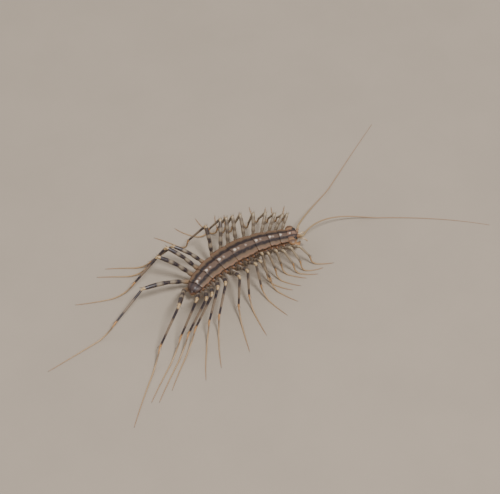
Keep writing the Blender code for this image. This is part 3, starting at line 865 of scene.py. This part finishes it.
def tube_of(shape, path, radii, sides, ridge=0.0, **values):
    """Adds a closed tube to a shape. A value given as a list holds one number for each ring."""
    points, faces = sweep(path, radii, sides, ridge)
    spread = {name: ring_values(given, sides) if np.ndim(given) else given for name, given in values.items()}
    shape.add(points, faces, **spread)


def along_way(start, way, distances):
    return np.array([start + way * distance for distance in distances])


def skin_ring(s):
    """Points around the trunk at s, drawn in towards neck and tail."""
    tail = max(0.0, (s - BODY_LENGTH + SKIN_TAIL) / SKIN_TAIL)
    neck = max(0.0, (SKIN_NECK - s) / 0.75)
    half = between(WIDTHS, s) * FLANK * ((1 - 0.62 * tail**1.6) * (1 - 0.12 * neck))
    crown = between(CROWN, s) - 0.34 - (0.45 * tail**2 + 0.1 * neck)
    belly = between(BELLY, s) + 0.45 * tail**2
    for i in range(SKIN_SIDES):
        angle = math.tau * i / SKIN_SIDES
        z = (crown + belly) / 2 + bulge(math.cos(angle), 0.7) * (crown - belly) / 2
        yield at_body(s, bulge(math.sin(angle), 0.8) * half, z)


def coxae():
    """Number, end, way and radius of the first joint of every leg."""
    for n in range(1, LEG_COUNT + 1):
        for side, _ in SIDES:
            yield n, *coxa_place(n, side)


def fused(shape, voxel):
    """Points and faces of a shape after its overlapping parts are joined and smoothed."""
    mesh = bpy.data.meshes.new("flank_draft")
    mesh.from_pydata([tuple(point) for point in shape.points], [], shape.faces)
    draft = new_object("flank_draft", mesh)
    remesh = draft.modifiers.new("remesh", "REMESH")
    remesh.mode = "VOXEL"
    remesh.voxel_size = voxel
    smooth = draft.modifiers.new("smooth", "SMOOTH")
    smooth.factor = 0.5
    smooth.iterations = 7
    done = bpy.data.meshes.new_from_object(draft.evaluated_get(bpy.context.evaluated_depsgraph_get()))
    points = np.zeros(len(done.vertices) * 3)
    done.vertices.foreach_get("co", points)
    faces = [tuple(polygon.vertices) for polygon in done.polygons]
    bpy.data.objects.remove(draft)
    bpy.data.meshes.remove(done)
    return points.reshape(-1, 3), faces


def make_skin(settings):
    """Flanks, belly, coxae and the space under the plates as one closed skin."""
    draft = Shape()
    rings = [list(skin_ring(s)) for s in np.arange(1.75, BODY_LENGTH - 0.1, SKIN_STEP)]
    draft.add([point for ring in rings for point in ring], tube_faces(len(rings), SKIN_SIDES))
    for _, end, way, radius in coxae():
        tube_of(draft, along_way(end, way, COXA_AHEAD), radius * COXA_SHAPE, ROOT_SIDES)
    tube_of(draft, along_way(*tail_place(), TAIL_AHEAD), TAIL_RADII, ROOT_SIDES)
    points, faces = fused(draft, settings.voxel)
    s = ((points[:, None, :2] - LINE[None, ::4]) ** 2).sum(2).argmin(1) * 4 * LINE_STEP
    crown = np.interp(s, *zip(*CROWN))
    belly = np.interp(s, *zip(*BELLY))
    up = np.clip((points[:, 2] - belly) / (crown - PLATE_DROP - belly), 0, 1)
    spot = np.zeros(len(points))
    for n, end, way, radius in coxae():
        ahead = unit(np.cross(UP, way))
        for middle, size in (
            (end - way * 0.5 + UP * radius * 1.05, 0.3 + 0.012 * n),
            (end + UP * radius * 0.8 + ahead * 0.12, 0.2 + 0.012 * n),
        ):
            spot = np.maximum(spot, np.exp(-(((points - middle) / size) ** 2).sum(1)))
    made = Shape("up", "spot")
    made.add(points, faces, up=up, spot=spot)
    return made.piece("trunk_skin", skin_look(settings), replaces=[row[0] for row in TERGITES])


def plate_point(start, row, u, v):
    """A point on a plate's outer face, u from -1 to 1 across it and v from 0 to 1 along it."""
    _, length, half, _, _ = row
    last = row is TERGITES[-1]
    rim = abs(u)
    front = 0.05 * rim**6 * length
    rear = length * (0.86 if last else 1.03) * (1.0 - 0.04 * hump(u, 0.15)) - 0.16 * rim**6
    s = start - 0.05 + front + (rear - front) * v
    wide = (0.2 * half + 0.8 * between(WIDTHS, s)) * (0.955 + 0.04 * math.sin(math.pi * min(v * 1.1, 1.0)))
    lift = PLATE_RISE * (-0.5 + 0.9 * v**0.8)
    if last:
        wide *= 1.0 - 0.35 * v**2.2
        lift = PLATE_RISE * (-0.5 + 1.0 * v - 2.6 * v**3)
    roll = -0.06 * hump(1 - v, 0.06) - 0.06 * hump(1 - rim, 0.06)
    ridge = 0.02 * hump(rim - 0.92, 0.04)
    keel = 0.05 * hump(u, 0.24) - 0.03 * hump(rim - 0.4, 0.14)
    z = between(CROWN, s) - PLATE_DROP * rim**2.2 + lift + roll + ridge + keel
    return at_body(s, u * wide, z + SADDLE_RISE * saddle_of(row, u, v) - SLIT_DEPTH * slit_of(row, u, v))


def saddle_of(row, u, v):
    """1 on the raised hump at the rear middle of a plate. The last plate has none."""
    return 0.0 if row is TERGITES[-1] else hump(u, 0.17) * hump(v - 0.88, 0.45 / row[1])


def slit_of(row, u, v):
    """1 in the breathing slit at the end of the hump."""
    return 0.0 if row is TERGITES[-1] else hump(u, 0.03) * hump(v - 0.965, 0.14 / row[1])


def second_highlight_of(row, u, v):
    """1 on the fainter painted highlights ahead of the hump, one between each two pairs of legs under the plate.
    """
    count = len(row[4])
    places = [(i + 0.15) / count for i in range(1, count)]
    return max((hump(u, 0.16) * hump((v - place) * row[1], 0.34) for place in places), default=0.0)


def band_of(row, u, v):
    """Share of the way from the middle to the rim for the colours, narrower between the pairs of legs."""
    return u * (1 - 0.045 * math.cos(math.tau * len(row[4]) * (v - 0.92)))


# Named values on the plates, and the functions that find them
PLATE_VALUES = {"across": band_of, "saddle": saddle_of, "mark": second_highlight_of, "slit": slit_of}


def make_plates(settings):
    """The eight back plates, each an arched shell with rolled rims and its breathing saddle."""
    look = plate_look(settings)
    made = []
    for start, row in SPANS[1:]:
        rows = max(20, int(row[1] * 11))
        grid = [(u, v) for v in np.linspace(0, 1, rows) for u in np.linspace(-1, 1, PLATE_COLUMNS)]
        points = [plate_point(start, row, u, v) for u, v in grid]
        values = {name: [value(row, u, v) for u, v in grid] for name, value in PLATE_VALUES.items()}
        shape = Shape(*PLATE_VALUES, "dusk")
        values["dusk"] = float(row is TERGITES[-1])
        shape.add(points, grid_faces(rows, PLATE_COLUMNS, closed=False), **values)
        plate = shape.piece(f"tergite_{row[0][-1]}", look)
        solid = plate.modifiers.new("thickness", "SOLIDIFY")
        solid.thickness = settings.plate_thickness * METRES_PER_MM
        solid.offset = -1.0
        solid.use_even_offset = False
        made.append(plate)
    return made


def make_belly(settings):
    """Fifteen pale plates under the trunk, one for each pair of legs."""
    shape = Shape("run")
    rows = BELLY_ROWS
    count = rows**2
    faces = grid_faces(rows, rows, closed=False)
    faces += [tuple(count + face[k] for k in (0, 3, 2, 1)) for face in faces]
    rim = [*range(rows), *range(2 * rows - 1, count, rows), *range(count - 2, count - rows - 1, -1)]
    rim += range(count - 2 * rows, 0, -rows)
    faces += [(a, b, b + count, a + count) for a, b in zip(rim, rim[1:] + rim[:1])]
    for n in range(1, LEG_COUNT + 1):
        _, pitch, s = leg_row(n)
        half = between(WIDTHS, s) * FLANK * (0.62 if n < LEG_COUNT else 0.42)
        points = []
        for v in np.linspace(-1, 1, rows):
            for u in np.linspace(-1, 1, rows):
                low = between(BELLY, s) - 0.03 - 0.07 * (1 - u**4) * (1 - v**6) + 0.16 * abs(u) ** 3
                wide = half * (1 - 0.12 * v**4)
                points.append(at_body(s + pitch * 0.44 * v * (1 - 0.08 * u**4), u * wide, low))
        shape.add(points + [point + UP * BELLY_THICKNESS for point in points], faces, run=0.25)
    look = mouth_look("sternite_cuticle", (0.36, 0.24, 0.14), (0.2, 0.1, 0.05))
    return shape.piece("sternites", look)


def head_point(along, angle):
    """Across, high, mid height and share up of a point on the head, with its outline and low relief."""
    half, top, bottom = (between([(row[0], row[k]) for row in HEAD_RINGS], along) for k in (1, 2, 3))
    middle = (top + bottom) / 2
    up = bulge(math.cos(angle), 0.85)
    y = bulge(math.sin(angle), 0.82) * half
    z = middle + up * (top - bottom) / 2
    if up > 0:
        z -= 0.05 * hump(y, 0.05) * hump(along - 0.5, 0.3) + 0.05 * seam_of(along, y)
        z += 0.07 * hump(abs(y) - 0.5, 0.3) * hump(along - 0.42, 0.25)
    return y, z, middle, up


def seam_of(along, y):
    """1 on the seams that cross the head, behind the eyes and over the front."""
    rear = hump(along - 0.62 + 0.12 * y * y, 0.03)
    return max(rear, hump(along - 0.16 - 0.1 * y * y, 0.045) if abs(y) < 1.2 else 0.0)


def cheek_reach(s, across, up, middle):
    """How far a cheek stands out at s, seen from the head's middle along a unit way across and up."""
    thin = 1 - ((s - CHEEK_PLACE[0]) / CHEEK_HALF[0]) ** 2
    if thin <= 0:
        return 0.0
    wide, tall = (half * math.sqrt(thin) for half in CHEEK_HALF[1:])
    rise = CHEEK_PLACE[2] - middle
    a = (across / wide) ** 2 + (up / tall) ** 2
    b = abs(across) * CHEEK_PLACE[1] / wide**2 + up * rise / tall**2
    c = (CHEEK_PLACE[1] / wide) ** 2 + (rise / tall) ** 2 - 1
    inside = b * b - a * c
    return max((b + math.sqrt(inside)) / a, 0.0) if inside > 0 else 0.0


def make_head(settings):
    """Head capsule with seams, eye rims, antenna sockets and the lip."""
    length = HEAD[1] + 0.12
    shape = Shape("across", "along", "up", "seam", "spot")
    eyes = [eye_frame(side) for side, _ in SIDES]
    found = []
    for i in range(HEAD_ROWS + 1):
        along = (i / HEAD_ROWS) ** 1.3
        s = length * along - 0.02
        blunt = 0.35 + 0.65 * math.sqrt(1 - (1 - min(1.0, along / 0.08)) ** 2)
        for j in range(HEAD_COLUMNS):
            y, z, middle, up = head_point(along, math.tau * j / HEAD_COLUMNS)
            y *= blunt
            z = (z - middle) * blunt
            far = math.hypot(y, z)
            cheek = cheek_reach(s, y / far, z / far, middle)
            grow = (far**CHEEK_BLEND + cheek**CHEEK_BLEND) ** (1 / CHEEK_BLEND) / far
            y *= grow
            point = at_body(s, y, middle + z * grow)
            for centre, way, ahead, above in eyes:
                off = point - centre
                if off.dot(way) > -0.8:
                    long, tall = EYE_HALF[0] + EYE_RIM, EYE_HALF[2] + EYE_RIM
                    rim = math.hypot(off.dot(ahead) / long, off.dot(above) / tall)
                    point = point + way * 0.015 * hump(rim - 1.08, 0.16)
            seam = seam_of(along, y) if up > 0 else 0.0
            # Where the head's painted highlight lies, on its top near the rear.
            spot = hump(y, 0.26) * hump(s - 1.68, 0.24) if up > 0 else 0.0
            found.append((point, y / 1.5, along, 0.5 + 0.5 * up, seam, spot))
    points, *values = zip(*found)
    shape.add(points, tube_faces(HEAD_ROWS + 1, HEAD_COLUMNS), **dict(zip(shape.values, values)))
    for side, _ in SIDES:
        path = along_way(*antenna_place(side), SOCKET_AHEAD)
        tube_of(shape, path, SOCKET_RADII, 20, across=0.9, along=0.3, up=0.8)
    lip = []
    for s, wide in LIP:
        for j in range(LIP_SIDES):
            angle = math.tau * j / LIP_SIDES
            lip.append(at_body(s, math.cos(angle) * wide, 3.95 - 0.25 * (0.45 - s) + math.sin(angle) * 0.2))
    shape.add(lip, tube_faces(len(LIP), LIP_SIDES), across=0.95, along=0.1, up=0.5)
    return shape.piece("head_capsule", head_look(), replaces=["head"])


def make_eyes(settings):
    """Two domed black eyes made of small facets."""
    look = eye_look()
    made = []
    for side, word in SIDES:
        centre, way, ahead, above = eye_frame(side)
        points = []
        for i in range(EYE_ROWS):
            lean = math.radians(-22 + 110 * i / (EYE_ROWS - 1))
            for j in range(EYE_COLUMNS):
                angle = math.tau * (j + 0.5 * (i % 2)) / EYE_COLUMNS
                facet = 1.0 + 0.018 * math.cos(math.pi * j) * math.cos(lean)
                across = ahead * (EYE_HALF[0] * math.cos(angle)) + above * (EYE_HALF[2] * math.sin(angle))
                points.append(centre + (way * (EYE_HALF[1] * math.sin(lean)) + across * math.cos(lean)) * facet)
        shape = Shape()
        shape.add(points, tube_faces(EYE_ROWS, EYE_COLUMNS))
        made.append(shape.piece(f"eye_{word}_dome", look, replaces=[f"eye_{word}"]))
    return made


def antenna_axis(side):
    """Path and radii of an antenna, a thick first joint and then fine rings that sink to the floor."""
    path = list(along_way(*antenna_place(side), SCAPE_AHEAD))
    radii = list(SCAPE_RADII)
    point = path[-1].copy()
    high = point[2]
    steps = ANTENNA_RINGS * 2
    length = ANTENNA_LENGTH[side] - 0.5
    step = length / steps
    for i in range(1, steps + 1):
        done = length * i / steps
        share = done / ANTENNA_TOUCHES[side]
        thick = ANTENNA_BASE + (ANTENNA_TIP - ANTENNA_BASE) * (i / steps) ** 0.8
        z = thick
        if share < 1:
            z = thick + (high - ANTENNA_BASE) * (1 - share) ** 1.5 * (1 + 0.9 * share)
        point = point + flat(between(ANTENNA_BEND[side], done - step / 2)) * reach(step, point[2] - z)
        point[2] = z
        path.append(point.copy())
        radii.append(thick * (0.9 if i % 2 else 1.05))
    return np.array(path), np.array(radii)


def make_antennae(settings):
    """Long antennae of many fine rings."""
    look = antenna_look()
    made = []
    for side, word in SIDES:
        path, radii = antenna_axis(side)
        shape = Shape("run", "groove")
        grooves = [float(ring >= len(SCAPE_RADII) and ring % 2 == 0) for ring in range(len(path))]
        tube_of(shape, path, radii, ANTENNA_SIDES, run=np.linspace(0, 1, len(path)), groove=grooves)
        made.append(shape.piece(f"antenna_{word}_rings", look, replaces=[f"antenna_{word}"]))
    return made


def make_mouthparts(kind, form, look, place, ahead, route, thickness, rings, sides):
    """A pair of tubes, each ahead from its root on the head and then along a route."""
    made = []
    runs = np.linspace(0, 1, rings)
    for side, word in SIDES:
        root, way, out = place
        path = list(along_way(*root_place(root, way, side, out), ahead))
        path += [at_body(s, y * side, z) for s, y, z in route]
        shape = Shape("run")
        tube_of(shape, smooth_path(path, rings), np.interp(runs, *zip(*thickness)), sides, run=runs)
        made.append(shape.piece(f"{kind}_{word}_{form}", look, replaces=[f"{kind}_{word}"]))
    return made


def make_forcipules(settings):
    """Poison claws, three short joints and a curved dark point."""
    look = mouth_look("forcipule_cuticle", (0.44, 0.225, 0.09), (0.035, 0.018, 0.012))
    place = (FORCIPULE_ROOT, FORCIPULE_WAY, 0.35)
    return make_mouthparts(
        "forcipule", "claw", look, place, FORCIPULE_AHEAD, FORCIPULE_ROUTE, FORCIPULE_SHAPE, rings=40, sides=20
    )


def make_palps(settings):
    """Pale palps ahead of the mouth, with short joints."""
    look = mouth_look("palp_cuticle", (0.56, 0.42, 0.27), (0.34, 0.2, 0.1))
    place = (PALP_ROOT, PALP_WAY, 0.4)
    return make_mouthparts("palp", "joints", look, place, PALP_AHEAD, PALP_ROUTE, PALP_SHAPE, rings=30, sides=14)


def make_legs(settings):
    """Thirty legs with ridged upper joints, thin tibiae and tarsi of many short articles."""
    look = leg_look(settings)
    made = []
    for side, word in SIDES:
        for n in range(1, LEG_COUNT + 1):
            path, radii, runs = leg_axis(n, side)
            shape = Shape("run", "bold")
            # On the near right side the boldness also carries painted shade on the legs' undersides.
            bold = between(BOLDNESS_AND_NEAR_SHADE[side], n)
            tube_of(shape, path, radii * settings.thickness, LEG_SIDES, LEG_RIDGE, run=runs, bold=bold)
            name = f"leg_{word}_{n:02d}"
            made.append(shape.piece(f"{name}_joints", look, replaces=[name]))
    return made


def make_claws(settings):
    """A small dark claw at the end of each leg."""
    shape = Shape("run")
    for side, _ in SIDES:
        for n in range(1, LEG_COUNT + 1):
            path = leg_axis(n, side)[0]
            route = along_way(path[-1], unit(path[-1] - path[-4]), CLAW_AHEAD)
            route[:, 2] += CLAW_RISE
            tube_of(shape, route, CLAW_RADII, 8, run=(0.7, 0.85, 0.95, 1.0))
    look = mouth_look("claw_horn", (0.30, 0.14, 0.06), (0.03, 0.015, 0.01))
    return shape.piece("leg_claws", look)


def joint_bristles(shape, draw, n, i, frame_at, patch, run):
    """Spurs near the joints, and rows of small spines on the ridges between them."""
    place, radius, ahead, right, above = frame_at
    joint = min(abs(run - mark) for mark in SPUR_RUNS)
    for k in range(LEG_RIDGES):
        angle = math.tau * (k / LEG_RIDGES) + 0.03
        out = right * math.cos(angle) + above * math.sin(angle)
        root = place + out * radius
        if (i + k) % 2 and joint > 0.03:
            length = (0.13 + 0.06 * draw.random()) * (0.7 + 0.03 * n)
            spike(shape, root, unit(out * 0.55 + ahead), length, SPINE_RADIUS, ahead, patch, 0.25)
        if joint < 0.012 and k != 3:
            length = (KNEE_SPUR + SPUR_GROWTH * n) * (0.75 + 0.1 * (k % 3))
            way = unit(out * SPUR_LEAN + ahead)
            spike(shape, root, way, length, SPUR_RADIUS, way, patch, 0.1)


def tarsus_hair(shape, draw, frame_at, patch):
    """Fine hair round one article of a tarsus, and none that would stand in the floor."""
    place, radius, ahead, right, above = frame_at
    for k in range(4):
        angle = math.pi * (1.18 + 0.64 * k / 3) if k < 2 else math.pi * (0.05 + 0.9 * draw.random())
        out = right * math.cos(angle) + above * math.sin(angle)
        if out[2] < -0.2:
            out = unit(np.array([out[0], out[1], -0.1]))
        length = 0.15 + 0.08 * draw.random()
        way = unit(out * 0.6 + ahead)
        root = place + out * radius
        if root[2] + way[2] * length > 0.0:
            spike(shape, root, way, length, HAIR_RADIUS, ahead, patch, 0.8)


def make_leg_bristles(settings):
    """Spurs, spines and hair over the legs, one mesh for each side."""
    made = []
    for side, word in SIDES:
        draw = np.random.default_rng(SEED + side)
        shape = Shape("tone")
        for n in range(1, LEG_COUNT + 1):
            path, radii, runs = leg_axis(n, side)
            for i, (run, *frame_at) in enumerate(zip(runs, path, radii, *frames_along(path))):
                patch = ((n - 0.5 + 0.4 * (run / 3)) / 16, 0.05 + 0.9 * run / 3)
                if 0.05 < run <= 2.0:
                    joint_bristles(shape, draw, n, i, frame_at, patch, run)
                elif i % 3 == 1 and 2.0 < run < 2.97:
                    tarsus_hair(shape, draw, frame_at, patch)
        made.append(shape.piece(f"leg_bristles_{word}", bristle_look(), baked=True))
    return made


def make_body_bristles(settings):
    """Short bristles over the plates, denser along their rear and side rims."""
    draw = np.random.default_rng(SEED)
    shape = Shape("tone")
    for start, row in SPANS[1:]:
        spots = [(u, 1.0) for u in np.linspace(-0.96, 0.96, int(row[2] * 16))]
        spots += [(float(side), v) for side, _ in SIDES for v in np.linspace(0.08, 0.95, int(row[1] * 7))]
        count = int(row[1] * row[2] * 16)
        spots += [(draw.uniform(-0.95, 0.95), draw.uniform(0.12, 0.95)) for _ in range(count)]
        for u, v in spots:
            left = plate_point(start, row, max(u - 0.02, -1.0), v)
            right = plate_point(start, row, min(u + 0.02, 1.0), v)
            before = plate_point(start, row, u, max(v - 0.02, 0.0))
            behind = plate_point(start, row, u, min(v + 0.02, 1.0))
            out = unit(np.cross(behind - before, right - left))
            out = out if out[2] > 0 else -out
            rear = unit(behind - before)
            at_side, at_rear = abs(u) > 0.99, v > 0.99
            spread = unit(right - left) * np.sign(u) * (0.8 if at_side else 0.1)
            way = unit(rear * (0.8 if at_rear else 0.5) + spread + out * 0.45)
            length = draw.uniform(0.1, 0.17) if at_side or at_rear else draw.uniform(0.07, 0.12)
            patch = (0.5 + 0.42 * u, (start + row[1] * v) / 30)
            root = plate_point(start, row, u, v)
            tone = 0.15 + 0.3 * draw.random()
            spike(shape, root, way, length, BODY_BRISTLE_RADIUS, rear, patch, tone)
    return shape.piece("body_bristles", bristle_look(), baked=True)


# Stage


def aim(thing, place, way):
    """Stands a light or camera at a place, looking along a way, upright."""
    thing.location = tuple(place)
    thing.rotation_mode = "QUATERNION"
    thing.rotation_quaternion = Vector(tuple(way)).to_track_quat("-Z", "Y")


def make_light(name, place, way, size, power):
    data = bpy.data.lights.new(name, "AREA")
    data.shape = "DISK"
    data.size = size
    data.energy = power
    aim(new_object(name, data), place, way)


def make_stage(settings):
    """Pale floor, soft lights and the camera at the photograph's angle."""
    mesh = bpy.data.meshes.new("floor")
    corners = [(x * FLOOR_HALF, y * FLOOR_HALF, 0) for x, y in ((-1, -1), (1, -1), (1, 1), (-1, 1))]
    mesh.from_pydata(corners, [], [(0, 1, 2, 3)])
    mesh.materials.append(floor_look(settings))
    floor = new_object("floor", mesh)
    away = flat(CAMERA_TURN + 90)
    right = flat(CAMERA_TURN)
    lift = math.radians(CAMERA_HEIGHT)
    back = UP * math.sin(lift) - away * math.cos(lift)
    target = -CENTRE * METRES_PER_MM
    for name, towards, distance, size, power in (
        ("key_light", right * settings.key_right - away * 0.4 + UP, 0.9, settings.key_size, settings.key_power),
        ("fill_light", -right * 0.9 + away * 0.5 + UP * 0.9, 1.0, 0.9, settings.fill_power),
    ):
        offset = unit(towards) * distance
        make_light(name, target + offset, -offset, size, power)
    world = bpy.data.worlds.new("studio")
    bpy.context.scene.world = world
    world.use_nodes = True
    shade = world.node_tree.nodes["Background"]
    shade.inputs["Color"].default_value = SKY_COLOUR
    shade.inputs["Strength"].default_value = settings.sky
    data = bpy.data.cameras.new("camera")
    data.sensor_width = CAMERA_SENSOR
    data.lens = CAMERA_SENSOR * CAMERA_SCALE * CAMERA_DISTANCE / IMAGE_WIDTH
    data.clip_start = CAMERA_NEAR
    data.clip_end = CAMERA_FAR
    camera = new_object("camera", data)
    aim(camera, target + back * CAMERA_DISTANCE * METRES_PER_MM, -back)
    bpy.context.scene.camera = camera
    return camera


# The add-on


def number(name, text, value, **more):
    return FloatProperty(name=name, description=text, default=value, **more)


def tint(name, text, value):
    limits = {"min": 0.0, "max": 1.0}
    return FloatVectorProperty(name=name, description=text, default=value, subtype="COLOR", size=3, **limits)


class CentipedeLegSettings(bpy.types.PropertyGroup):
    thickness: number("Thickness", "Factor on all leg radii", 1.0, min=0.5, max=1.5)
    pale: tint("Pale", "Ground colour of the legs", (0.25, 0.198, 0.142))
    dark: tint("Bands", "Colour of the dark bands", (0.016, 0.012, 0.021))
    joint: tint("Joints", "Colour at the ankles", (0.58, 0.30, 0.11))
    foot: tint("Tarsus", "Colour of the tarsi", (0.44, 0.28, 0.14))
    tip: tint("Tip", "Colour at the tips of the tarsi", (0.36, 0.18, 0.09))


class CentipedeBodySettings(bpy.types.PropertyGroup):
    voxel: number("Skin detail", "Mesh size of the skin in millimetres", 0.09, min=0.05)
    plate_thickness: number("Plate", "Thickness of a back plate in millimetres", 0.1)
    flank: tint("Flank", "Colour of the flanks", (0.27, 0.14, 0.078))
    middle: tint("Middle band", "Colour along the middle of the back", (0.128, 0.081, 0.059))
    stripe: tint("Stripes", "Colour of the two dark stripes", (0.02, 0.011, 0.012))
    side: tint("Sides", "Colour of the plates' sides", (0.143, 0.088, 0.051))


class CentipedeStageSettings(bpy.types.PropertyGroup):
    floor: tint("Floor", "Colour of the floor", (0.385, 0.32, 0.255))
    key_power: number("Key", "Power of the main light", 7.4, unit="POWER")
    key_size: number("Key size", "Width of the main light", 0.2, unit="LENGTH")
    key_right: number("Key to the right", "How far to the right the main light stands", 0.26)
    fill_power: number("Fill", "Power of the second light", 1.6, unit="POWER")
    sky: number("Sky", "Strength of the light all round", 0.6)


class PieceOperator:
    """What the operators share: a settings group and the functions that make their pieces."""

    settings = "centipede_body"

    def execute(self, context):
        for make in self.makers:
            if not make(getattr(context.scene, self.settings)):
                raise RuntimeError(f"{self.bl_label}: {make.__name__} made nothing")
        return {"FINISHED"}


class CENTIPEDE_OT_skin(PieceOperator, bpy.types.Operator):
    """Build the skin of the flanks and the plates of the belly"""

    bl_idname = "centipede.skin"
    bl_label = "Trunk skin"
    makers = (make_skin, make_belly)


class CENTIPEDE_OT_plates(PieceOperator, bpy.types.Operator):
    """Build the eight back plates"""

    bl_idname = "centipede.plates"
    bl_label = "Back plates"
    makers = (make_plates,)


class CENTIPEDE_OT_head(PieceOperator, bpy.types.Operator):
    """Build the head capsule and its eyes"""

    bl_idname = "centipede.head"
    bl_label = "Head and eyes"
    makers = (make_head, make_eyes)


class CENTIPEDE_OT_antennae(PieceOperator, bpy.types.Operator):
    """Build the two antennae"""

    bl_idname = "centipede.antennae"
    bl_label = "Antennae"
    makers = (make_antennae,)


class CENTIPEDE_OT_mouthparts(PieceOperator, bpy.types.Operator):
    """Build the poison claws and palps"""

    bl_idname = "centipede.mouthparts"
    bl_label = "Poison claws and palps"
    makers = (make_forcipules, make_palps)


class CENTIPEDE_OT_legs(PieceOperator, bpy.types.Operator):
    """Build the thirty legs and their claws"""

    bl_idname = "centipede.legs"
    bl_label = "Legs"
    settings = "centipede_legs"
    makers = (make_legs, make_claws)


class CENTIPEDE_OT_bristles(PieceOperator, bpy.types.Operator):
    """Build the spines and bristles of legs and body"""

    bl_idname = "centipede.bristles"
    bl_label = "Bristles"
    settings = "centipede_legs"
    makers = (make_leg_bristles, make_body_bristles)


class CENTIPEDE_OT_stage(PieceOperator, bpy.types.Operator):
    """Set up the floor, lights and camera"""

    bl_idname = "centipede.stage"
    bl_label = "Stage"
    settings = "centipede_stage"
    makers = (make_stage,)


PIECE_OPERATORS = (
    CENTIPEDE_OT_skin,
    CENTIPEDE_OT_plates,
    CENTIPEDE_OT_head,
    CENTIPEDE_OT_antennae,
    CENTIPEDE_OT_mouthparts,
    CENTIPEDE_OT_legs,
    CENTIPEDE_OT_bristles,
    CENTIPEDE_OT_stage,
)
SETTINGS = (
    ("centipede_legs", CentipedeLegSettings),
    ("centipede_body", CentipedeBodySettings),
    ("centipede_stage", CentipedeStageSettings),
)


class CENTIPEDE_PT_panel(bpy.types.Panel):
    """Lists the pieces and their settings"""

    bl_idname = "CENTIPEDE_PT_panel"
    bl_label = "House centipede"
    bl_space_type = "VIEW_3D"
    bl_region_type = "UI"
    bl_category = "Centipede"

    def draw(self, context):
        for name, group in SETTINGS:
            column = self.layout.column(align=True)
            for key in group.__annotations__:
                column.prop(getattr(context.scene, name), key)
        for operator in PIECE_OPERATORS:
            self.layout.operator(operator.bl_idname)


CLASSES = (*(group for _, group in SETTINGS), *PIECE_OPERATORS, CENTIPEDE_PT_panel)


def register():
    for each in CLASSES:
        bpy.utils.register_class(each)
    for name, group in SETTINGS:
        setattr(bpy.types.Scene, name, PointerProperty(type=group))


def unregister():
    for name, _ in SETTINGS:
        delattr(bpy.types.Scene, name)
    for each in reversed(CLASSES):
        bpy.utils.unregister_class(each)


def main():
    register()
    for operator in PIECE_OPERATORS:
        group, name = operator.bl_idname.split(".")
        getattr(getattr(bpy.ops, group), name)()


if __name__ == "__main__":
    main()
